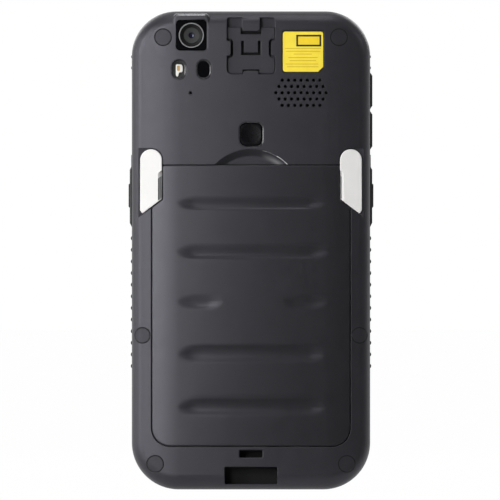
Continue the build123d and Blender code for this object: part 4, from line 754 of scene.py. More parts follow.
class FinishRack:
    """Every finish of the terminal, made once and handed to the sub-assemblies."""

    def __init__(self) -> None:
        """Makes all the materials."""
        charcoal, violet = (0.0192, 0.0190, 0.0222), (0.90, 0.885, 1.0)
        black, zinc = (0.004, 0.004, 0.0045), (0.09, 0.09, 0.095)
        even, drawn = (1.0, 1.0, 1.0), (1.0, 6.0, 1.0)
        soft = 0.3 * MM
        self.shell = Moulding(
            "shell_charcoal", charcoal, 0.42, specular=0.62, edge_radius=soft, tint=violet
        ).material()
        # Pale metal for the painted highlight along the camera boss's upper edge.
        self.brow = Metal("brow_painted_highlight", (0.245, 0.245, 0.258), 0.28, even).material()
        self.rim = Moulding("rim_burnished", charcoal, 0.26, Grain.SATIN, specular=0.6).material()
        self.cover = Moulding(
            "cover_charcoal", (0.0145, 0.0142, 0.0165), 0.36, specular=0.72, tint=violet
        ).material()
        self.bezel = Moulding("frame_black", (0.016, 0.016, 0.018), 0.42, Grain.SATIN).material()
        self.ivory = Moulding(
            "lever_ivory", (0.795, 0.788, 0.775), 0.40, Grain.SATIN, edge_lift=1.05, mottle=0.02
        ).material()
        # Grey for the painted shade on the levers' bevelled inner edges.
        self.pad = Moulding("bevel_shade_grey", (0.30, 0.30, 0.305), 0.42, Grain.SATIN).material()
        # Finger dish lining: charcoal with a painted highlight arc on its right wall.
        self.dish = SheenPaintedWall("dish_painted_sheen", charcoal, (0.20, 0.20, 0.205), violet).material()
        self.barrel = Moulding(
            "barrel_satin", (0.030, 0.031, 0.031), 0.45, Grain.SATIN, specular=0.3
        ).material()
        self.collar = Moulding("collar_black", black, 0.5, Grain.SATIN, specular=0.2).material()
        self.ceramic = Moulding("chip_white", (0.86, 0.85, 0.80), 0.35, Grain.SATIN).material()
        self.keycap = Moulding("keycap_black", (0.015, 0.015, 0.017), 0.40, Grain.SATIN).material()
        self.piano = Moulding(
            "key_polished", (0.0032, 0.0031, 0.0042), 0.28, Grain.POLISHED, specular=0.2
        ).material()
        self.inner = Moulding("module_black", (0.014, 0.014, 0.016), 0.50, Grain.SATIN).material()
        self.rubber = Rubber("rubber_black", (0.022, 0.022, 0.024)).material()
        self.plug = Moulding(
            "plug_charcoal", charcoal, 0.50, specular=0.46, edge_radius=soft, tint=violet
        ).material()
        self.seal = Rubber("seal_black", (0.012, 0.012, 0.013), 0.55, 0.1).material()
        # Black for painted shade: under the socket's insert, in the gaps round the plugs, in the
        # strap pocket and beside the left lever's bevel.
        self.shade_sheet = Rubber("painted_shade_black", black, 0.8, 0.05).material()
        self.steel = Metal("steel_drawn", (0.56, 0.57, 0.58), 0.28).material()
        self.casting = Metal("alloy_cast", (0.50, 0.51, 0.53), 0.48, even).material()
        # Pale anodised metal, laid only along the finger dish's edge as a painted highlight.
        self.trim = Metal("dish_edge_painted_highlight", (0.60, 0.60, 0.62), 0.34, drawn, 0.42).material()
        self.ring = Metal("ring_anodised", (0.37, 0.37, 0.38), 0.34, drawn, 0.42).material()
        self.screw = Metal("screw_black_zinc", zinc, 0.35).material()
        self.gold = Metal("contact_gold", (0.83, 0.62, 0.26), 0.22).material()
        self.yellow = Film("label_yellow", (0.96, 0.775, 0.065)).material()
        self.amber = Film("label_amber", (0.96, 0.705, 0.030)).material()
        self.ink = Film("label_ink", (0.012, 0.012, 0.014), 0.45).material()
        self.rule = Film("label_rule", (0.60, 0.37, 0.006), 0.45).material()
        self.window = DarkGlass("window_black", (0.0022, 0.0022, 0.0028), specular=0.22).material()
        self.glass = DarkGlass(
            "cover_glass", (0.002, 0.002, 0.003), roughness=0.04, specular=0.22
        ).material()
        self.panel = DarkGlass(
            "panel_black", (0.003, 0.003, 0.005), roughness=0.05, specular=0.16
        ).material()
        self.lens = CoatedLens("lens_coated").material()
        self.clear = ClearLens("lens_clear").material()
        self.phosphor = Phosphor("phosphor", (0.42, 0.26, 0.08)).material()
        self.board = CircuitBoard("circuit_board").material()
        self.mesh = WovenMesh("acoustic_mesh").material()
        self.wrap = CellWrap("cell_wrap").material()


# ---------------------------------------------------------------- mesh helpers
def metres(numbers: Iterable[float]) -> tuple[float, ...]:
    """Numbers in metres, from millimetres."""
    return tuple(number * MM for number in numbers)


def spaced(start: float, end: float, steps: int) -> list[float]:
    """Evenly spaced numbers, with the start and the end among them."""
    return [start + (end - start) * step / steps for step in range(steps + 1)]


def ease(share: float) -> float:
    """Smooth step from 0 to 1."""
    held = min(1.0, max(0.0, share))
    return held * held * (3.0 - 2.0 * held)


def back_depth(x: float, inset: float = 0.0) -> float:
    """Depth of the crowned back surface at x.

    Args:
        x: Distance from the middle in metres.
        inset: Distance below the surface, square to it.

    Returns:
        The Y coordinate in metres.
    """
    turn = math.asin(CROWN_HALF / CROWN_RADIUS)
    reach = abs(x)
    if reach <= CROWN_HALF:
        return BACK + CROWN_RADIUS - math.sqrt((CROWN_RADIUS - inset) ** 2 - x * x)
    hub_x = CROWN_HALF - SHOULDER_RADIUS * math.sin(turn)
    hub_y = BACK + CROWN_RADIUS - (CROWN_RADIUS - SHOULDER_RADIUS) * math.cos(turn)
    return hub_y - math.sqrt((SHOULDER_RADIUS - inset) ** 2 - (reach - hub_x) ** 2)


def make_piece(
    name: str, mesh: Mesh, material: Material, body: Body = Body.TERMINAL
) -> bpy.types.Object:
    """Makes a mesh piece that rides on a body.

    Args:
        name: Name of the piece.
        mesh: Its vertices in metres, and its faces.
        material: Its finish.
        body: Body that carries it.

    Returns:
        The new object.
    """
    points, faces = mesh
    data = bpy.data.meshes.new(name)
    data.from_pydata(points, [], faces)
    work = bmesh.new()
    work.from_mesh(data)
    bmesh.ops.remove_doubles(work, verts=work.verts, dist=WELD)
    bmesh.ops.recalc_face_normals(work, faces=work.faces)
    for edge in work.edges:
        edge.smooth = len(edge.link_faces) == 2 and edge.calc_face_angle(0.0) < SMOOTH_ANGLE
    for face in work.faces:
        face.smooth = True
    work.to_mesh(data)
    work.free()
    data.materials.append(material)
    piece = bpy.data.objects.new(name, data)
    bpy.context.scene.collection.objects.link(piece)
    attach(piece, body.value)
    log.info("piece %s on %s", name, body.value)
    return piece


def rounded_loop(centre: Spot, size: Spot, radius: float, steps: int = 6) -> list[Spot]:
    """Points round a rounded rectangle.

    Args:
        centre: Its centre.
        size: Width and height.
        radius: Corner radius.
        steps: Steps in each corner.

    Returns:
        The points, anticlockwise.
    """
    loop = []
    for quarter, (sign_x, sign_z) in enumerate(((1, 1), (-1, 1), (-1, -1), (1, -1))):
        hub_x = centre[0] + sign_x * (size[0] / 2 - radius)
        hub_z = centre[1] + sign_z * (size[1] / 2 - radius)
        for step in range(steps + 1):
            angle = math.pi / 2 * (quarter + step / steps)
            loop.append((hub_x + radius * math.cos(angle), hub_z + radius * math.sin(angle)))
    return loop


def oval(centre: Spot, size: Spot, steps: int = 12) -> list[Spot]:
    """Points round a circle or an upright oval, anticlockwise."""
    return rounded_loop(centre, size, min(size) / 2 * OVAL_SHARE, steps)


def ring_faces(count: int, here: int, after: int) -> list[Face]:
    """Faces that join two closed loops.

    Args:
        count: Points in each loop.
        here: Number of the first loop's first point.
        after: Number of the second loop's first point.

    Returns:
        The faces.
    """
    faces = []
    for index in range(count):
        ahead = (index + 1) % count
        faces.append((here + index, here + ahead, after + ahead, after + index))
    return faces


def ringed(rings: list[tuple[list[Spot], float]]) -> Mesh:
    """Closed form through loops at rising depths, capped at both ends.

    Args:
        rings: Loops with as many points each, and their depths.

    Returns:
        Vertices and faces.
    """
    count = len(rings[0][0])
    points = [(x, depth, z) for loop, depth in rings for x, z in loop]
    faces: list[Face] = [tuple(range(count))]
    for level in range(len(rings) - 1):
        faces += ring_faces(count, level * count, (level + 1) * count)
    last = (len(rings) - 1) * count
    faces.append(tuple(range(last + count - 1, last - 1, -1)))
    return points, faces


def plate(loop: list[Spot], near: float, far: float) -> Mesh:
    """Flat plate of one outline between two depths."""
    return ringed([(loop, near), (loop, far)])


def closed_band(loops: list[list[Point]]) -> Mesh:
    """Closed ring of which each loop is one corner of the section.

    Args:
        loops: Loops with as many points each, in order round the section.

    Returns:
        Vertices and faces.
    """
    count, levels = len(loops[0]), len(loops)
    faces: list[Face] = []
    for level in range(levels):
        faces += ring_faces(count, level * count, (level + 1) % levels * count)
    return [spot for loop in loops for spot in loop], faces


def rim_ring(centre: Spot, outer: Spot, inner: Spot, depths: Iterable[float]) -> Mesh:
    """Upright oval ring whose face slopes down to its opening.

    Args:
        centre: X and Z of its middle.
        outer: Width and height outside.
        inner: Width and height of its opening.
        depths: Depth of the outer edge, of the inner edge and of the base.

    Returns:
        Vertices and faces.
    """
    edge, opening, base = depths
    corners = ((outer, edge), (inner, opening), (inner, base), (outer, base))
    return closed_band([[(x, depth, z) for x, z in oval(centre, size)] for size, depth in corners])


def slab(grid: list[list[Spot]], top: Depth, base: Depth, stride: int = 1) -> Mesh:
    """Closed slab over rows of points, with one height field on top and one below.

    Args:
        grid: Rows of X and Z, each with as many columns.
        top: Depth of the outer face at X and Z.
        base: Depth of the inner face at X and Z.
        stride: Columns of the outer face to one of the inner face.

    Returns:
        Vertices and faces.
    """
    rows, columns = len(grid), len(grid[0])
    picked = sorted({*range(0, columns, stride), columns - 1})
    points = [(x, top(x, z), z) for row in grid for x, z in row]
    start, last, end = len(points), len(picked) - 1, columns - 1
    points += [(row[col][0], base(*row[col]), row[col][1]) for row in grid for col in picked]

    def low(row: int, index: int) -> int:
        """Number of a vertex of the inner face."""
        return start + row * len(picked) + index

    faces: list[Face] = []
    for row in range(rows - 1):
        here, after = row * columns, (row + 1) * columns
        faces += [(here + col, here + col + 1, after + col + 1, after + col) for col in range(end)]
        for index in range(last):
            near, far = low(row, index), low(row + 1, index)
            faces.append((near, far, far + 1, near + 1))
        faces.append((here, after, low(row + 1, 0), low(row, 0)))
        faces.append((here + end, low(row, last), low(row + 1, last), after + end))
    for row in (0, rows - 1):
        for index in range(last):
            rim = [row * columns + col for col in range(picked[index], picked[index + 1] + 1)]
            faces.append((*rim, low(row, index + 1), low(row, index)))
    return points, faces


def join_parts(parts: list[Mesh]) -> Mesh:
    """Joins several vertex and face lists into one.

    Args:
        parts: The lists.

    Returns:
        Vertices and faces of all of them.
    """
    points: list[Point] = []
    faces: list[Face] = []
    for part_points, part_faces in parts:
        start = len(points)
        points.extend(part_points)
        faces.extend(tuple(start + number for number in face) for face in part_faces)
    return points, faces


class Skin:
    """Outer skin of one or more nodes, seen from behind."""

    def __init__(self, *nodes: str) -> None:
        """Reads the nodes' meshes.

        Args:
            *nodes: Names of the nodes.
        """
        self.trees = []
        for node in nodes:
            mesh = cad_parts[node].data
            corners = [vertex.co for vertex in mesh.vertices]
            polygons = [face.vertices for face in mesh.polygons]
            self.trees.append(BVHTree.FromPolygons(corners, polygons))

    def depth(self, x: float, z: float) -> float:
        """Depth of the skin at a point.

        Args:
            x: X in metres.
            z: Z in metres.

        Returns:
            The Y coordinate of the outermost surface there.
        """
        start, inward = Vector((x, 4 * BACK, z)), Vector((0.0, 1.0, 0.0))
        hits = [tree.ray_cast(start, inward)[0] for tree in self.trees]
        return min((hit.y for hit in hits if hit is not None), default=back_depth(x))


@dataclass(frozen=True)
class Wedge:
    """Slim wedge that follows a path over a skin and dies away at both ends, in millimetres."""

    section: tuple[Spot, ...]
    inset: float
    taper: float
    bury: float
    thickness: float

    def laid(self, path: list[Spot], skin: Skin) -> Mesh:
        """Lays the wedge along a path.

        Args:
            path: Points along its middle in metres.
            skin: The skin that carries it.

        Returns:
            Vertices and faces.
        """
        middles = [Vector(spot) for spot in path]
        runs = [0.0]
        for before, after in zip(middles, middles[1:]):
            runs.append(runs[-1] + (after - before).length)
        depths: dict[Spot, float] = {}
        grid: list[list[Spot]] = []
        for index, middle in enumerate(middles):
            ahead = middles[min(index + 1, len(middles) - 1)] - middles[max(index - 1, 0)]
            outwards = Vector((-ahead.y, ahead.x)).normalized()
            seat = middle - outwards * (self.inset * MM)
            base = skin.depth(seat.x, seat.y)
            share = ease(min(runs[index], runs[-1] - runs[index]) / (self.taper * MM))
            row = []
            for reach, height in map(metres, self.section):
                spot = middle + outwards * reach
                buried = skin.depth(spot.x, spot.y) + self.bury * MM
                depths[(spot.x, spot.y)] = buried + (base - height - buried) * share
                row.append((spot.x, spot.y))
            grid.append(row)
        thickness = self.thickness * MM
        return slab(grid, lambda x, z: depths[(x, z)], lambda x, z: depths[(x, z)] + thickness)


# ---------------------------------------------------------------- sub-assemblies
@dataclass
class Unit:
    """A sub-assembly, with the finishes that its pieces take. Its sizes are in millimetres."""

    rack: FinishRack

    def dress(self, **finishes: Material) -> None:
        """Gives carried-over nodes their finishes.

        Args:
            **finishes: Finish by node.
        """
        for node, material in finishes.items():
            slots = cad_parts[node].data.materials
            slots.clear()
            slots.append(material)
            log.info("dressed %s in %s", node, material.name)


@dataclass
class Shell(Unit):
    """Back housing, front frame, rubber plugs, side grips and the strap socket's insert."""

    socket_shade_centre: Spot = (0.0, 147.1)
    socket_shade_size: Spot = (13.4, 13.2)
    socket_shade_corner: float = 1.0
    socket_shade_depths: Spot = (-6.310, -6.345)
    plugs: tuple[Point, ...] = ((29.5, 151.7, 2.8), (36.4, 51.7, 2.6), (32.15, 8.6, 2.8))
    gap_shade_width: float = 0.36
    gap_shade_span: float = 0.4
    gap_shade_section: tuple[Spot, ...] = ((-0.5, -0.02), (0.5, -0.02), (0.5, 0.2), (-0.5, 0.2))
    gap_shade_steps: int = 48
    dish_middle: float = 97.3
    dish_inner: float = 13.3
    dish_flat: float = 14.55
    dish_edge: float = 16.85
    dish_floor: float = -7.32
    dish_lap: float = 0.04
    dish_seam: float = 109.02
    dish_power: float = 1.15
    dish_thickness: float = 0.5
    dish_rings: int = 16
    dish_steps: int = 40
    # Pale strip along the dish's right edge, a painted highlight.
    highlight_reach: Spot = (16.80, 17.02)
    highlight_start: float = 7.0
    highlight_run: float = 3.4
    highlight_seat: float = 0.03
    highlight_rise: float = 0.06
    highlight_share: float = 0.3
    highlight_thickness: float = 0.3
    highlight_steps: int = 24
    strap_floor: float = -3.6
    strap_lift: float = 0.05
    strap_corner: float = 0.4
    strap_shade_outlines: tuple[tuple[Spot, Spot], ...] = (
        ((0.0, 4.7), (17.5, 5.6)),
        ((0.0, 11.95), (7.5, 2.3)),
    )

    def shade_sheet(self) -> None:
        """Thin black sheet under the insert, seen through its slots: painted shade."""
        centre, size = metres(self.socket_shade_centre), metres(self.socket_shade_size)
        loop = rounded_loop(centre, size, self.socket_shade_corner * MM)
        mesh = plate(loop, *metres(self.socket_shade_depths))
        piece = make_piece("socket_shade", mesh, self.rack.shade_sheet)

    def gap_shade_ring(self, x: float, z: float, radius: float, skin: Skin) -> Mesh:
        """Black band of painted shade in the gap round one screw plug, level with what lies on its
        two sides.

        Args:
            x: X of the plug.
            z: Z of the plug.
            radius: Radius of the middle of the gap.
            skin: The skin on both sides of the gap.

        Returns:
            Vertices and faces.
        """
        loops: list[list[Point]] = [[] for _ in self.gap_shade_section]
        for step in range(self.gap_shade_steps):
            turn = 2 * math.pi * step / self.gap_shade_steps
            run, rise = math.cos(turn), math.sin(turn)
            inner, outer = (
                skin.depth((x + far * run) * MM, (z + far * rise) * MM)
                for far in (radius - self.gap_shade_span, radius + self.gap_shade_span)
            )
            for loop, (offset, lift) in zip(loops, self.gap_shade_section):
                far = radius + offset * self.gap_shade_width
                share = 0.5 + offset * self.gap_shade_width / (2 * self.gap_shade_span)
                depth = inner + (outer - inner) * share + lift * MM
                loop.append(((x + far * run) * MM, depth, (z + far * rise) * MM))
        return closed_band(loops)

    def plug_gap_shade(self) -> None:
        """Thin black bands of painted shade in the gaps round the screw plugs."""
        skin = Skin("rear_housing", "screw_caps")
        parts = []
        for x, z, reach in self.plugs:
            parts += [self.gap_shade_ring(side * x, z, reach, skin) for side in SIDES]
        piece = make_piece("plug_gap_shade", join_parts(parts), self.rack.shade_sheet)

    def strap_pocket_shade(self) -> None:
        """Black sheets of painted shade on the floor of the strap pocket and of its slot."""
        near, far = self.strap_floor * MM, (self.strap_floor - self.strap_lift) * MM
        parts = []
        for centre, size in self.strap_shade_outlines:
            loop = rounded_loop(metres(centre), metres(size), self.strap_corner * MM)
            parts.append(plate(loop, near, far))
        piece = make_piece("strap_pocket_shade", join_parts(parts), self.rack.shade_sheet)

    def fan(self, reach: float, start: float, steps: int) -> list[Spot]:
        """Points at one distance from the dish's middle, down to the seam on the right.

        Args:
            reach: The distance in millimetres.
            start: Bearing of the first point from straight up, as a share of the last one's.
            steps: Steps between them.

        Returns:
            X and Z of the points in metres.
        """
        end = math.acos((self.dish_seam - self.dish_middle) / reach)
        spots = []
        for share in spaced(start, 1.0, steps):
            run, rise = reach * math.sin(end * share), reach * math.cos(end * share)
            spots.append(metres((run, self.dish_middle + rise)))
        return spots

    def dish_face(self, x: float, z: float) -> float:
        """Depth of the dish's lining, flat in the middle and steeper towards the edge.

        Args:
            x: X in metres.
            z: Z in metres.

        Returns:
            The depth.
        """
        reach = math.hypot(x, z - self.dish_middle * MM) / MM
        share = max(0.0, (reach - self.dish_flat) / (self.dish_edge - self.dish_flat))
        floor = self.dish_floor * MM
        return floor + (back_depth(x) + self.dish_lap * MM - floor) * share**self.dish_power

    def highlight_face(self, x: float, z: float) -> float:
        """Depth of the pale strip painted as a highlight on the dish's edge, which rises out of the
        surface towards the seam.

        Args:
            x: X in metres.
            z: Z in metres; not used.

        Returns:
            The depth.
        """
        share = ease((x / MM - self.highlight_start) / self.highlight_run)
        return back_depth(x) + (self.highlight_seat - self.highlight_rise * share) * MM

    def dish(self) -> None:
        """Lines the finger dish with its wide soft wall, and lays a pale metal strip along its
        right edge as a painted highlight.
        """
        reaches = spaced(self.dish_inner, self.dish_edge, self.dish_rings)
        grid = [self.fan(reach, -1.0, self.dish_steps) for reach in reaches]
        thickness = self.dish_thickness * MM
        mesh = slab(grid, self.dish_face, lambda x, z: self.dish_face(x, z) + thickness)
        make_piece("dish_lining", mesh, self.rack.dish)
        # The dish edge piece is a painted highlight in pale metal.
        grid = [self.fan(reach, self.highlight_share, self.highlight_steps) for reach in self.highlight_reach]
        worn = self.highlight_thickness * MM
        mesh = slab(grid, self.highlight_face, lambda x, z: self.highlight_face(x, z) + worn)
        make_piece("dish_edge", mesh, self.rack.trim)

    def build(self) -> None:
        """Dresses the shell."""
        rack = self.rack
        self.dress(
            rear_housing=rack.shell,
            front_frame=rack.bezel,
            screw_caps=rack.plug,
            case_screws=rack.screw,
            grip_left=rack.rubber,
            grip_right=rack.rubber,
            strap_socket_plate=rack.shell,
        )
        self.shade_sheet()
        self.plug_gap_shade()
        self.strap_pocket_shade()
        self.dish()


@dataclass(frozen=True)
class Groove:
    """One grip groove across the battery cover, in millimetres."""

    low: float
    high: float
    apex: float
    spans: tuple[Spot, ...]
    brink: Brink = Brink.SOFT
    depth: float = 0.5
    point: float = 2.2
    fade: float = 6.5

    def sunk(self, x: float, z: float) -> float:
        """Depth of the groove at a point.

        Args:
            x: Distance from the middle.
            z: Height.

        Returns:
            The depth, 0 outside the groove.
        """
        if not self.low < z < self.high:
            return 0.0
        if z <= self.apex:
            along = ease((z - self.low) / (self.apex - self.low))
        else:
            share = (self.high - z) / (self.high - self.apex)
            along = math.sin(share * math.pi / 2) if self.brink is Brink.CRISP else ease(share)
        lean = self.point * abs(2 * z - self.low - self.high) / (self.high - self.low)
        across = max(min(x - left - lean, right - lean - x) for left, right in self.spans)
        return self.depth * along * ease(across / self.fade)


@dataclass
class BatteryUnit(Unit):
    """Battery with its grooved cover, its wrapped cells, its pads and the socket they meet."""

    half: float = 33.2
    neck: float = 29.6
    low: float = 14.6
    high: float = 108.7
    corner: float = 6.0
    corner_steps: int = 14
    neck_corner: float = 0.6
    shoulder_low: float = 94.59
    shoulder_high: float = 97.33
    shoulder_steps: int = 7
    thickness: float = 2.2
    rim: float = 0.32
    hook_x: float = 16.0
    hook_size: Spot = (7.0, 2.6)
    hook_low: float = 13.2
    hook_depths: Spot = (-7.45, -6.4)
    hook_corner: float = 0.3
    grooves: tuple[Groove, ...] = (
        Groove(93.6, 98.8, 94.9, ((-25.5, 25.5),)),
        Groove(77.0, 82.9, 78.6, ((-25.5, 27.0),)),
        Groove(60.0, 66.2, 62.0, ((-25.6, -8.6), (9.8, 26.6)), depth=0.36),
        Groove(42.0, 48.6, 45.0, ((-25.2, 25.7),), Brink.CRISP),
        Groove(24.4, 30.6, 27.0, ((-25.4, 26.0),), Brink.CRISP),
    )
    groove_pitch: float = 0.4
    plain_rows: tuple[float, ...] = tuple(23.0 + 2.4 * step for step in range(36))
    end_insets: tuple[float, ...] = (0.0, 0.03, 0.09, 0.18, 0.32, 0.6)
    least_gap: float = 0.02
    columns: tuple[float, ...] = (
        *(0.0, 2.4, 4.8, 6.6),
        *(7.8 + 0.6 * step for step in range(12)),
        *(16.2, 18.2, 20.0),
        *(20.6 + 0.6 * step for step in range(17)),
    )
    side_insets: tuple[float, ...] = (2.0, 1.3, 0.7, 0.32, 0.18, 0.09, 0.03, 0.0)
    inner_stride: int = 6

    def half_width(self, z: float) -> float:
        """Half width of the cover at a height.

        Args:
            z: Height.

        Returns:
            The half width.
        """
        if z < self.low + self.corner:
            rise = self.low + self.corner - z
            return self.half - self.corner + math.sqrt(max(0.0, self.corner**2 - rise**2))
        if z <= self.shoulder_low:
            return self.half
        if z < self.shoulder_high:
            share = (z - self.shoulder_low) / (self.shoulder_high - self.shoulder_low)
            return self.half + (self.neck - self.half) * share
        if z > self.high - self.neck_corner:
            rise = z - self.high + self.neck_corner
            return self.neck - self.neck_corner + math.sqrt(max(0.0, self.neck_corner**2 - rise**2))
        return self.neck

    def rim_distance(self, x: float, z: float) -> float:
        """Distance from a point of the cover to its rim.

        Args:
            x: Distance from the middle.
            z: Height.

        Returns:
            The distance, 0 on the rim.
        """
        reach = abs(x)
        for radius, hub_x, hub_z, side in (
            (self.corner, self.half - self.corner, self.low + self.corner, -1),
            (self.neck_corner, self.neck - self.neck_corner, self.high - self.neck_corner, 1),
        ):
            if reach > hub_x and (z - hub_z) * side > 0:
                return max(0.0, radius - math.hypot(reach - hub_x, z - hub_z))
        run, rise = self.half - self.neck, self.shoulder_high - self.shoulder_low
        slant = ((self.half - reach) * rise + (self.shoulder_low - z) * run) / math.hypot(run, rise)
        side = min(self.half - reach, max(self.neck - reach, slant))
        return max(0.0, min(side, z - self.low, self.high - z))

    def outer_face(self, x: float, z: float) -> float:
        """Depth of the cover's outer face, in metres.

        Args:
            x: Distance from the middle in metres.
            z: Height in metres.

        Returns:
            The depth.
        """
        across, height = x / MM, z / MM
        near = min(self.rim, self.rim_distance(across, height))
        dip = self.rim - math.sqrt(self.rim**2 - (self.rim - near) ** 2)
        sunk = max(groove.sunk(across, height) for groove in self.grooves)
        return back_depth(x) + (dip + sunk) * MM

    def heights(self) -> list[float]:
        """Heights of the rows, closer together at the rims and in the grooves.

        Returns:
            The heights, rising.
        """
        turns = [math.pi / 2 * step / self.corner_steps for step in range(self.corner_steps + 1)]
        marks = [self.low + self.corner * (1 - math.cos(turn)) for turn in turns]
        for inset in self.end_insets:
            marks += [self.low + inset, self.high - inset]
        marks += spaced(self.shoulder_low, self.shoulder_high, self.shoulder_steps)
        marks += self.plain_rows
        for groove in self.grooves:
            steps = round((groove.high - groove.low) / self.groove_pitch)
            marks += spaced(groove.low, groove.high, steps)
        rows: list[float] = []
        for mark in sorted(marks):
            if not rows or mark - rows[-1] > self.least_gap:
                rows.append(mark)
        rows[-1] = self.high
        return rows

    def row(self, z: float) -> list[Spot]:
        """Points of one row of the cover, in metres.

        Args:
            z: Height in millimetres.

        Returns:
            X and Z of its points from left to right.
        """
        width, margin = self.half_width(z), self.side_insets[0]
        share = (width - margin) / (self.half - margin)
        right = [mark * share for mark in self.columns]
        right += [width - inset for inset in self.side_insets]
        across = [-x for x in reversed(right[1:])] + right
        return [(x * MM, z * MM) for x in across]

    def cover(self) -> None:
        """Crowned cover with soft grip grooves and its two hook tabs."""
        grid = [self.row(z) for z in self.heights()]
        depth = self.thickness * MM
        parts = [slab(grid, self.outer_face, lambda x, z: back_depth(x, depth), self.inner_stride)]
        for side in SIDES:
            middle = metres((side * self.hook_x, self.hook_low + self.hook_size[1] / 2))
            loop = rounded_loop(middle, metres(self.hook_size), self.hook_corner * MM)
            parts.append(plate(loop, *metres(self.hook_depths)))
        piece = make_piece("battery_skin", join_parts(parts), self.rack.cover, Body.BATTERY)
        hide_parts("battery_cover")

    def build(self) -> None:
        """Builds and dresses the battery."""
        rack = self.rack
        self.dress(
            battery_pack=rack.wrap,
            battery_terminals=rack.gold,
            battery_connector=rack.inner,
            battery_seal=rack.seal,
        )
        self.cover()


@dataclass
class LockLevers(Unit):
    """The two off-white battery locks, the grey painted shade on their inner edges, and their
    rings.
    """

    bevel_shade_across: Spot = (30.02, 30.98)
    bevel_shade_high: float = 105.2
    bevel_shade_low: float = 97.85
    bevel_shade_slope: float = 0.76
    joint_shade_width: float = 0.22
    bevel_shade_trim: float = 0.55
    bevel_shade_lift: float = 0.03
    bevel_shade_sink: float = 0.1
    bevel_shade_steps: int = 8

    def pad(self, side: int) -> None:
        """Grey painted shade on the tilted inner edge of a lever, with a black strip of painted
        shade beside it on the left lever.

        Args:
            side: -1 for the left lever, 1 for the right one.
        """
        name, body = ("left", Body.LATCH_LEFT) if side < 0 else ("right", Body.LATCH_RIGHT)
        skin = Skin(f"latch_lever_{name}")
        near, far = self.bevel_shade_across[0], self.bevel_shade_across[1] - (self.bevel_shade_trim if side > 0 else 0.0)
        # Both layers are painted shade: grey on the bevel, black in the step beside it.
        layers = [("pad", near, far, self.rack.pad)]
        if side < 0:
            layers.append(("joint_shade", far, far + self.joint_shade_width, self.rack.shade_sheet))
        lift, sink = self.bevel_shade_lift * MM, self.bevel_shade_sink * MM
        for label, start, end, finish in layers:
            columns = []
            for reach in (start, (start + end) / 2, end):
                low = self.bevel_shade_low - (reach - near) * self.bevel_shade_slope
                high = self.bevel_shade_high - (reach - near) * self.bevel_shade_slope
                rows = spaced(low, high, self.bevel_shade_steps)
                columns.append([metres((side * reach, z)) for z in rows])
            grid = [list(row) for row in zip(*columns)]
            mesh = slab(
                grid, lambda x, z: skin.depth(x, z) - lift, lambda x, z: skin.depth(x, z) + sink
            )
            piece = make_piece(f"lever_{label}_{name}", mesh, finish, body)

    def build(self) -> None:
        """Dresses the levers."""
        ivory, steel = self.rack.ivory, self.rack.steel
        self.dress(latch_lever_left=ivory, latch_clip_left=steel)
        self.dress(latch_lever_right=ivory, latch_clip_right=steel)
        for side in SIDES:
            self.pad(side)


@dataclass
class Keys(Unit):
    """Side keys, the flush upper key and the square polished key with its rim."""

    square_middle: float = 119.1
    square_half: float = 3.75
    square_corner: float = 1.9
    rim_section: tuple[Spot, ...] = ((4.30, -0.015), (3.84, 0.27), (3.84, 0.40), (4.30, 0.40))
    rim_flat: float = 0.03
    rim_steps: int = 10
    lean_start: float = 1.6
    lean_run: float = 1.6

    def rim_depth(self, x: float, sink: float) -> float:
        """Depth of the rim at x: flat on the left, sloping in to the key on the right.

        Args:
            x: X in metres.
            sink: Depth under the surface where the slope is full, in millimetres.

        Returns:
            The depth.
        """
        share = ease((x / MM - self.lean_start) / self.lean_run)
        return back_depth(x) + (self.rim_flat + (sink - self.rim_flat) * share) * MM

    def square_rim(self) -> None:
        """Burnished rim round the square key, sloping in to it on the right."""
        centre, loops = metres((0.0, self.square_middle)), []
        for reach, sink in self.rim_section:
            corner = self.square_corner + reach - self.square_half
            loop = rounded_loop(centre, metres((2 * reach, 2 * reach)), corner * MM, self.rim_steps)
            loops.append([(x, self.rim_depth(x, sink), z) for x, z in loop])
        piece = make_piece("key_rim", closed_band(loops), self.rack.rim)

    def build(self) -> None:
        """Dresses the keys."""
        rack = self.rack
        self.dress(
            scan_key_left=rack.keycap,
            scan_pad_left=rack.rubber,
            key_switches_left=rack.inner,
            scan_key_right=rack.keycap,
            scan_pad_right=rack.rubber,
            key_switches_right=rack.inner,
            volume_up_key=rack.keycap,
            volume_down_key=rack.keycap,
            power_key=rack.keycap,
            swap_key=rack.piano,
            swap_switch=rack.inner,
            power_switch=rack.inner,
        )
        self.square_rim()


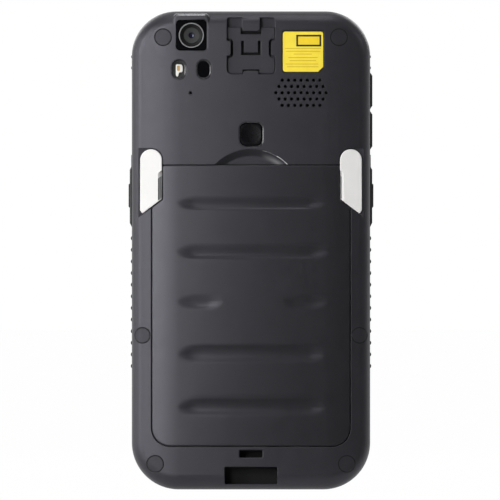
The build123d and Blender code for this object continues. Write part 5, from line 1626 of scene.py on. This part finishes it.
@dataclass
class CameraBlock(Unit):
    """Rear camera: brow, window, trim ring, black collar, ridged cone and hollow front element."""

    centre: Spot = (-20.0, 152.35)
    base: float = -6.95
    front: float = -7.86
    rim: float = 3.80
    collar: float = 2.62
    collar_gap: float = 0.02
    collar_sink: float = 0.02
    collar_rise: float = 0.03
    collar_chamfer: Spot = (0.04, 0.02)
    throat: float = 0.98
    throat_depth: float = 0.30
    lip_depth: float = 0.12
    fall: float = 0.16
    ridges: int = 7
    ridge_share: float = 0.55
    round_steps: int = 128
    element_half: float = 0.95
    element_seat: float = 0.34
    element_back: float = 0.56
    element_curve: float = 2.6
    element_steps: int = 12
    element_round: int = 64
    brow_half: float = 5.9
    brow_start: int = 4
    brow_steps: int = 12
    brow_high: float = 159.2
    brow_corner: float = 1.4
    brow_wedge: Wedge = Wedge(
        section=((-0.34, -0.02), (-0.30, 0.20), (-0.25, 0.24), (0.42, -0.25), (0.50, -0.40)),
        inset=0.7,
        taper=1.5,
        bury=0.03,
        thickness=0.6,
    )

    def brow(self) -> None:
        """Pale metal wedge along the upper edge of the camera's boss, a painted highlight."""
        path: list[Spot] = []
        hub = self.brow_high - self.brow_corner
        for side in SIDES:
            arc = []
            for step in range(self.brow_start, self.brow_steps + 1):
                turn = math.pi / 2 * step / self.brow_steps
                run = self.brow_half - self.brow_corner * (1 - math.cos(turn))
                rise = self.brow_corner * math.sin(turn)
                arc.append(metres((self.centre[0] + side * run, hub + rise)))
            path += arc if side < 0 else arc[::-1]
        mesh = self.brow_wedge.laid(path, Skin("rear_housing"))
        piece = make_piece("camera_brow", mesh, self.rack.brow)

    def barrel(self) -> None:
        """Flat cone with fine anti-glare ridges that runs in to the front element."""
        profile = [(0.0, self.base), (self.rim, self.base)]
        profile += [(self.rim, self.front), (self.collar, self.front)]
        depth, radius = self.front + self.lip_depth, self.collar - self.collar_gap
        fall, run = self.fall / self.ridges, (radius - self.throat) / self.ridges
        for _ in range(self.ridges):
            profile.append((radius, depth))
            radius -= run
            profile.append((radius, depth + fall * self.ridge_share))
            depth += fall
        profile += [(self.throat, depth + self.throat_depth), (0.0, depth + self.throat_depth)]
        piece = self.round_piece("camera_barrel", profile, self.rack.barrel, self.round_steps)
        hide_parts("camera_lens")

    def collar_ring(self) -> None:
        """Matt black collar between the cone and the bright ring."""
        low, high = self.front + self.collar_sink, self.front - self.collar_rise
        inner, outer = self.collar + self.collar_gap, self.rim
        run, drop = self.collar_chamfer
        profile = [(inner, low), (outer, low), (outer, high)]
        profile += [(inner + run, high), (inner, high + drop)]
        piece = self.round_piece("camera_collar", profile, self.rack.collar, self.round_steps)

    def element(self) -> None:
        """Hollow front element that fills the throat of the barrel."""
        half, seat = self.element_half, self.front + self.element_seat
        back = self.front + self.element_back
        profile = [(0.0, back), (half, back)]
        for step in range(self.element_steps, -1, -1):
            radius = half * step / self.element_steps
            sag = self.element_curve - math.sqrt(self.element_curve**2 - radius**2)
            profile.append((radius, seat - sag))
        piece = self.round_piece("camera_element", profile, self.rack.lens, self.element_round)

    def round_piece(
        self, name: str, profile: list[Spot], finish: Material, segments: int
    ) -> bpy.types.Object:
        """Piece turned about the camera's axis.

        Args:
            name: Name of the piece.
            profile: Radius and depth pairs in millimetres, in order round the section.
            finish: Its material.
            segments: Number of steps round.

        Returns:
            The piece.
        """
        loops, (x, z) = [], metres(self.centre)
        for step in range(segments):
            turn = 2 * math.pi * step / segments
            run, rise = math.cos(turn), math.sin(turn)
            pairs = map(metres, profile)
            loops.append([(x + reach * run, depth, z + reach * rise) for reach, depth in pairs])
        return make_piece(name, closed_band(loops), finish)

    def build(self) -> None:
        """Builds the camera."""
        rack = self.rack
        self.dress(
            camera_window=rack.window,
            camera_ring=rack.ring,
            camera_module=rack.inner,
            microphone=rack.mesh,
        )
        self.brow()
        self.barrel()
        self.collar_ring()
        self.element()


@dataclass
class Lamps(Unit):
    """Flash with its sloping reflector, and the rims of the flash, the sensor and the port."""

    flash: Spot = (-24.3, 140.9)
    cup: tuple[Point, ...] = (
        (4.9, 6.5, -6.15),
        (4.9, 6.5, -7.66),
        (4.1, 5.7, -7.62),
        (2.9, 4.5, -7.06),
    )
    cup_edge: float = -7.66
    chip_centre: Spot = (-24.05, 140.55)
    chip_outline: tuple[Spot, ...] = (
        *((-1.15, -1.60), (-0.90, -1.98), (-0.62, -2.05), (-0.40, -1.90)),
        *((-0.20, -1.30), (-0.06, -0.80), (0.30, -0.62), (0.80, -0.62)),
        *((1.10, -0.42), (1.15, 0.00), (1.15, 1.20), (0.95, 1.75)),
        *((0.50, 2.05), (-0.75, 2.05), (-1.05, 1.92), (-1.15, 1.65)),
    )
    chip_rings: tuple[Spot, ...] = ((1.0, -7.04), (1.0, -7.40), (0.95, -7.46), (0.88, -7.48))
    core_centre: Spot = (-24.35, 141.30)
    core_size: Spot = (0.95, 1.75)
    core_corner: float = 0.3
    core_depths: Spot = (-7.47, -7.51)
    sensor: Spot = (-15.9, 140.9)
    rim_outer: Spot = (4.86, 6.46)
    rim_inner: Spot = (4.02, 5.62)
    rim_steps: Point = (-0.21, -0.01, 0.04)
    port: Spot = (-20.2, 133.0)
    port_outer: Spot = (1.64, 1.64)
    port_inner: Spot = (0.92, 0.92)
    port_steps: Point = (-0.05, 0.07, 0.12)

    def reflector(self) -> None:
        """Oval cup with satin sloping walls."""
        centre = metres(self.flash)
        rings = [(oval(centre, metres(size)), depth * MM) for *size, depth in self.cup]
        piece = make_piece("flash_reflector", ringed(rings), self.rack.barrel)
        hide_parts("flash_window")

    def chip(self) -> None:
        """White light source in the cup, with the amber core in its upper half."""
        middle_x, middle_z = self.chip_centre
        rings = []
        for share, depth in self.chip_rings:
            outline = self.chip_outline
            loop = [metres((middle_x + x * share, middle_z + z * share)) for x, z in outline]
            rings.append((loop, depth * MM))
        body = make_piece("flash_chip", ringed(rings), self.rack.ceramic)
        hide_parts("flash_emitter")
        loop = rounded_loop(metres(self.core_centre), metres(self.core_size), self.core_corner * MM)
        core = make_piece("flash_core", plate(loop, *metres(self.core_depths)), self.rack.phosphor)

    def rims(self) -> None:
        """Sloping burnished rims round the flash, the distance sensor and the microphone's port."""
        face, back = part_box("distance_window")[0][1], back_depth(self.port[0] * MM)
        oblong, small = (self.rim_outer, self.rim_inner), (self.port_outer, self.port_inner)
        for name, centre, (outer, inner), seat, steps in (
            ("flash_rim", self.flash, oblong, self.cup_edge * MM, self.rim_steps),
            ("sensor_rim", self.sensor, oblong, face, self.rim_steps),
            ("microphone_rim", self.port, small, back, self.port_steps),
        ):
            depths = [seat + step * MM for step in steps]
            mesh = rim_ring(metres(centre), metres(outer), metres(inner), depths)
            make_piece(name, mesh, self.rack.rim)

    def build(self) -> None:
        """Builds the lamps."""
        self.dress(distance_window=self.rack.window, sensor_bracket=self.rack.inner)
        self.reflector()
        self.chip()
        self.rims()


@dataclass
class RearLabel(Unit):
    """Bare yellow label with a clipped corner, a blank outlined box and plain rules."""

    left: float = 10.70
    right: float = 24.20
    low: float = 140.10
    high: float = 153.56
    corner: float = 0.85
    clip: float = 1.7
    thickness: float = 0.25
    rise: float = 0.03
    end_insets: tuple[float, ...] = (0.0, 0.05, 0.15, 0.3, 0.5, 0.85)
    middle_rows: Spot = (145.0, 149.0)
    row_steps: int = 20
    # Margins of the painted shadow round the label.
    edge_shade_beside: Spot = (0.14, 0.05)
    edge_shade_above: float = 0.36
    edge_shade_below: float = 0.30
    edge_shade_rise: float = 0.015
    box_centre: Spot = (19.36, 150.55)
    box_size: Spot = (8.35, 3.9)
    line: float = 0.58
    lift: float = 0.012
    field_drop: float = 0.006
    bar_sink: float = 0.05
    bar_steps: int = 12
    rule_height: float = 0.17
    rules: tuple[Point, ...] = (
        (11.40, 23.50, 147.93),
        (11.74, 23.20, 146.99),
        (14.30, 20.45, 146.03),
        (12.54, 22.35, 144.87),
        (12.94, 21.83, 143.84),
        (11.57, 22.50, 142.70),
        (12.07, 22.60, 141.78),
    )

    def row(self, z: float) -> list[Spot]:
        """Points of one row of the label, in metres.

        Args:
            z: Height in millimetres.

        Returns:
            X and Z of its points from left to right.
        """
        near = min(z - self.low, self.high - z, self.corner)
        bite = self.corner - math.sqrt(self.corner**2 - (self.corner - near) ** 2)
        start = self.left + bite
        clipped = max(0.0, self.clip - z + self.low) if z < self.low + self.clip else bite
        return [(x * MM, z * MM) for x in spaced(start, self.right - clipped, self.row_steps)]

    def sheet(self, name: str, finish: Material) -> bpy.types.Object:
        """Lays a sheet with the label's outline on the crown.

        Args:
            name: Name of the piece.
            finish: Its material.

        Returns:
            The piece.
        """
        heights = [self.low + inset for inset in self.end_insets]
        heights += [self.low + self.clip, *self.middle_rows]
        heights += [self.high - inset for inset in reversed(self.end_insets)]
        grid = [self.row(z) for z in heights]
        rise, depth = self.rise * MM, self.thickness * MM
        mesh = slab(grid, lambda x, z: back_depth(x, -rise), lambda x, z: back_depth(x, depth))
        return make_piece(name, mesh, finish)

    def seat(self) -> None:
        """Painted shadow round the label: a dark sheet a little larger than the label, widest above
        and below it.
        """
        wide = replace(
            self,
            left=self.left - self.edge_shade_beside[0],
            right=self.right + self.edge_shade_beside[1],
            low=self.low - self.edge_shade_below,
            high=self.high + self.edge_shade_above,
            rise=self.edge_shade_rise,
        )
        wide.sheet("label_edge_shade", self.rack.ink)

    def bar(self, left: float, right: float, low: float, high: float, drop: float = 0.0) -> Mesh:
        """Thin closed bar laid across the label.

        Args:
            left: Start along X.
            right: End along X.
            low: Lower edge.
            high: Upper edge.
            drop: Distance below the print's face.

        Returns:
            Vertices and faces.
        """
        start, end, bottom, top = metres((left, right, low, high))
        lift, sink = (self.rise + self.lift) * MM - drop * MM, self.bar_sink * MM
        grid = [[(x, z) for x in spaced(start, end, self.bar_steps)] for z in (bottom, top)]
        return slab(grid, lambda x, z: back_depth(x) - lift, lambda x, z: back_depth(x) + sink)

    def box(self) -> None:
        """Blank outlined box with a deeper field."""
        (x, z), (width, height), line = self.box_centre, self.box_size, self.line
        left, right, low, high = x - width / 2, x + width / 2, z - height / 2, z + height / 2
        bars = [
            self.bar(left, right, low, low + line),
            self.bar(left, right, high - line, high),
            self.bar(left, left + line, low + line, high - line),
            self.bar(right - line, right, low + line, high - line),
        ]
        outline = make_piece("label_box", join_parts(bars), self.rack.ink)
        edge = line / 2
        mesh = self.bar(left + edge, right - edge, low + edge, high - edge, self.field_drop)
        panel = make_piece("label_field", mesh, self.rack.amber)

    def plain_rules(self) -> None:
        """Plain rules below the box."""
        half = self.rule_height / 2
        bars = [self.bar(start, end, z - half, z + half) for start, end, z in self.rules]
        piece = make_piece("label_rules", join_parts(bars), self.rack.rule)

    def build(self) -> None:
        """Builds the label."""
        piece = self.sheet("label_sheet", self.rack.yellow)
        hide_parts("rear_label")
        self.seat()
        self.box()
        self.plain_rules()


@dataclass
class ScreenSide(Unit):
    """Cover glass, the field of the display in it, and the eye and light beside the earpiece."""

    front: float = 8.6
    sink: float = 0.02
    field_centre: Spot = (0.0, 79.6)
    field_size: Spot = (68.4, 136.6)
    field_corner: float = 2.4
    field_lift: float = 0.004
    eye: Spot = (-14.0, 150.2)
    eye_half: float = 1.45
    eye_lift: float = 0.008
    collar_half: float = 1.9
    light: Spot = (14.0, 150.2)
    light_half: float = 0.9
    disc_steps: int = 16

    def on_glass(self, name: str, loop: list[Spot], lift: float, finish: Material) -> None:
        """Thin plate on the outer face of the glass.

        Args:
            name: Name of the piece.
            loop: Its outline in metres.
            lift: Its height over the glass in millimetres.
            finish: Its material.
        """
        mesh = plate(loop, (self.front - self.sink) * MM, (self.front + lift) * MM)
        make_piece(name, mesh, finish)

    def build(self) -> None:
        """Builds and dresses the screen side."""
        rack = self.rack
        self.dress(
            cover_glass=rack.glass,
            display_module=rack.panel,
            earpiece=rack.mesh,
            front_camera=rack.inner,
            status_light=rack.clear,
        )
        centre, size = metres(self.field_centre), metres(self.field_size)
        loop = rounded_loop(centre, size, self.field_corner * MM)
        self.on_glass("display_field", loop, self.field_lift, rack.panel)
        for name, middle, half, lift, finish in (
            ("front_eye_collar", self.eye, self.collar_half, self.field_lift, rack.barrel),
            ("front_eye", self.eye, self.eye_half, self.eye_lift, rack.lens),
            ("status_dot", self.light, self.light_half, self.field_lift, rack.barrel),
        ):
            loop = oval(metres(middle), metres((2 * half, 2 * half)), self.disc_steps)
            self.on_glass(name, loop, lift, finish)


@dataclass
class Ends(Unit):
    """Scan window of the upper end, charging socket and dock contacts of the lower end."""

    def build(self) -> None:
        """Dresses the two ends."""
        rack = self.rack
        self.dress(scan_window=rack.window, scan_engine=rack.inner)
        self.dress(usb_connector=rack.steel, dock_contacts=rack.gold)


@dataclass
class Inside(Unit):
    """Boards, shields and sound parts."""

    def build(self) -> None:
        """Dresses the inner parts."""
        rack = self.rack
        self.dress(chassis_plate=rack.casting, main_board=rack.board, io_board=rack.board)
        self.dress(processor_shield=rack.steel, radio_shield=rack.steel)
        self.dress(speaker=rack.inner, speaker_mesh=rack.mesh, vibration_motor=rack.steel)


# ---------------------------------------------------------------- studio
@dataclass(frozen=True)
class SoftBox:
    """Rectangular light placed by its bearings from the terminal, seen from the camera."""

    name: str
    turn: float
    rise: float
    size: Spot
    radiance: float
    distance: float = 1.2
    flux: float = 4.0

    def place(self, target: Vector) -> None:
        """Sets the light up, aimed at the terminal.

        Args:
            target: Middle of the terminal.
        """
        turn, rise = math.radians(self.turn), math.radians(self.rise)
        run = math.cos(rise)
        bearing = Vector((math.sin(turn) * run, -math.cos(turn) * run, math.sin(rise)))
        data = bpy.data.lights.new(self.name, "AREA")
        data.shape, data.size, data.size_y = "RECTANGLE", self.size[0], self.size[1]
        data.energy = self.radiance * self.flux * self.size[0] * self.size[1]
        lamp = bpy.data.objects.new(self.name, data)
        lamp.location = target + bearing * self.distance
        lamp.rotation_euler = (-bearing).to_track_quat("-Z", "Y").to_euler()
        bpy.context.scene.collection.objects.link(lamp)


@dataclass
class Studio:
    """Pale floor, soft lights and the camera, in metres."""

    pixel: float = 0.3353 * MM
    frame_pixels: int = 500
    centre: Point = (-0.335 * MM, -8.5 * MM, 80.34 * MM)
    lens: float = 1500.0
    sensor: float = 36.0
    clip_end: float = 60.0
    room_rise: Spot = (0.15, 0.85)
    room_fill: Spot = (0.048, 0.17)
    backdrop_span: Spot = (-0.25, 0.40)
    right_span: Spot = (0.0, 0.9)
    right_gloss: float = 0.5
    floor_radius: float = 14.0
    floor_sides: int = 64
    floor_tones: tuple[Colour, ...] = ((0.83,) * 3, (0.85,) * 3)
    floor_cell: float = 0.2
    floor_dark: Colour = (0.12, 0.12, 0.12)
    floor_gloss: Spot = (-0.030, 0.004)
    floor_glow: float = 0.99
    side_gloss: Spot = (-0.085, -0.030)
    side_share: float = 0.9
    boxes: tuple[SoftBox, ...] = (
        SoftBox("key_near", -26.0, 6.0, (0.36, 0.80), 6.5),
        SoftBox("key_far", -56.0, 6.0, (0.25, 0.80), 9.6),
        SoftBox("edge_left", -88.0, 5.0, (0.24, 0.80), 3.6),
        SoftBox("top_soft", 0.0, 62.0, (0.80, 0.12), 5.6),
        SoftBox("top_wide", 0.0, 82.0, (0.80, 0.30), 2.0),
        SoftBox("rim_right", 71.0, 22.0, (0.34, 0.50), 1.4),
        SoftBox("screen_left", 150.0, 25.0, (0.60, 0.60), 2.4),
        SoftBox("screen_right", -150.0, 25.0, (0.60, 0.60), 1.6),
    )

    def camera(self) -> None:
        """Places the long-lens camera square to the back."""
        data = bpy.data.cameras.new("camera")
        data.lens, data.sensor_width = self.lens, self.sensor
        camera = bpy.data.objects.new("camera", data)
        distance = self.pixel * self.frame_pixels * self.lens / self.sensor
        camera.location = (self.centre[0], self.centre[1] - distance, self.centre[2])
        camera.rotation_euler = (math.pi / 2, 0.0, 0.0)
        data.clip_end = self.clip_end
        bpy.context.scene.collection.objects.link(camera)
        bpy.context.scene.camera = camera

    def floor_finish(self) -> Material:
        """Pale ground that glows where it is seen and keeps the terminal's shadow.

        Returns:
            The material.
        """
        sheet = NodeSheet("floor_pale")
        path = sheet.add("ShaderNodeLightPath")
        depth = sheet.add("ShaderNodeSeparateXYZ")
        sheet.feed(depth.inputs[0], sheet.place)
        glossy = path.outputs["Is Glossy Ray"]
        behind = sheet.spread(depth.outputs["Y"], *self.floor_gloss, 0.0, 1.0)
        beside = sheet.spread(depth.outputs["X"], *self.side_gloss, self.side_share, 0.0)
        behind = sheet.maths(behind, beside, "MAXIMUM")
        gloss = sheet.maths(glossy, behind, "MULTIPLY")
        seen = sheet.maths(path.outputs["Is Camera Ray"], path.outputs["Is Transmission Ray"])
        seen = sheet.maths(seen, gloss)
        share = sheet.spread(seen, 0.0, 1.0, 0.0, self.floor_glow)
        diffuse = sheet.add("ShaderNodeBsdfDiffuse")
        tone = sheet.noise(self.floor_cell, detail=2.0)
        pale = sheet.blend(tone, *self.floor_tones)
        sheet.feed(diffuse.inputs["Color"], sheet.blend(glossy, pale, self.floor_dark))
        glow = sheet.add("ShaderNodeEmission")
        mixed = sheet.add("ShaderNodeMixShader")
        for socket, value in zip(mixed.inputs, (share, diffuse.outputs[0], glow.outputs[0])):
            sheet.feed(socket, value)
        output = sheet.add("ShaderNodeOutputMaterial")
        sheet.feed(output.inputs["Surface"], mixed.outputs[0])
        return sheet.material

    def floor(self) -> None:
        """Lays the wide pale floor."""
        material = self.floor_finish()
        radius, sides = self.floor_radius, self.floor_sides
        mesh = bpy.data.meshes.new("floor")
        work = bmesh.new()
        bmesh.ops.create_circle(work, cap_ends=True, radius=radius, segments=sides)
        work.to_mesh(mesh)
        work.free()
        floor = bpy.data.objects.new("floor", mesh)
        floor.data.materials.append(material)
        bpy.context.scene.collection.objects.link(floor)

    def world(self) -> None:
        """Fills the surroundings: white where it is seen, dimmer as a light.

        The backdrop behind the terminal shows white in its gloss, the room in front of it dark.
        """
        world = bpy.data.worlds.new("studio")
        bpy.context.scene.world = world
        world.use_nodes = True
        sheet = NodeTree(world.node_tree)
        bearing = sheet.add("ShaderNodeSeparateXYZ")
        sheet.feed(bearing.inputs[0], sheet.add("ShaderNodeTexCoord").outputs["Generated"])
        room = sheet.spread(bearing.outputs["Z"], *self.room_rise, *self.room_fill)
        backdrop = sheet.spread(bearing.outputs["Y"], *self.backdrop_span, 0.0, 1.0)
        path = sheet.add("ShaderNodeLightPath")
        right = sheet.spread(bearing.outputs["X"], *self.right_span, 1.0, self.right_gloss)
        backdrop = sheet.maths(backdrop, right, "MULTIPLY")
        gloss = sheet.maths(path.outputs["Is Glossy Ray"], backdrop, "MULTIPLY")
        rays = (path.outputs["Is Camera Ray"], path.outputs["Is Transmission Ray"])
        seen = sheet.maths(*rays, "MAXIMUM")
        strength = sheet.maths(sheet.maths(room, gloss, "MAXIMUM"), seen, "MAXIMUM")
        glow = sheet.add("ShaderNodeBackground")
        sheet.feed(glow.inputs["Color"], (1.0, 1.0, 1.0))
        sheet.feed(glow.inputs["Strength"], strength)
        output = sheet.add("ShaderNodeOutputWorld")
        sheet.feed(output.inputs["Surface"], glow.outputs[0])

    def build(self) -> None:
        """Sets up the studio."""
        self.camera()
        self.world()
        self.floor()
        for box in self.boxes:
            box.place(Vector((0.0, 0.0, self.centre[2])))
        bpy.context.scene.view_settings.view_transform = "Standard"


def main() -> None:
    """Builds the studio, then each sub-assembly in order."""
    logging.basicConfig(level=logging.INFO, format="%(name)s: %(message)s")
    Studio().build()
    rack = FinishRack()
    for unit in (
        Shell(rack),
        BatteryUnit(rack),
        LockLevers(rack),
        Keys(rack),
        CameraBlock(rack),
        Lamps(rack),
        RearLabel(rack),
        ScreenSide(rack),
        Ends(rack),
        Inside(rack),
    ):
        log.info("building %s", type(unit).__name__)
        unit.build()


if __name__ == "__main__":
    main()
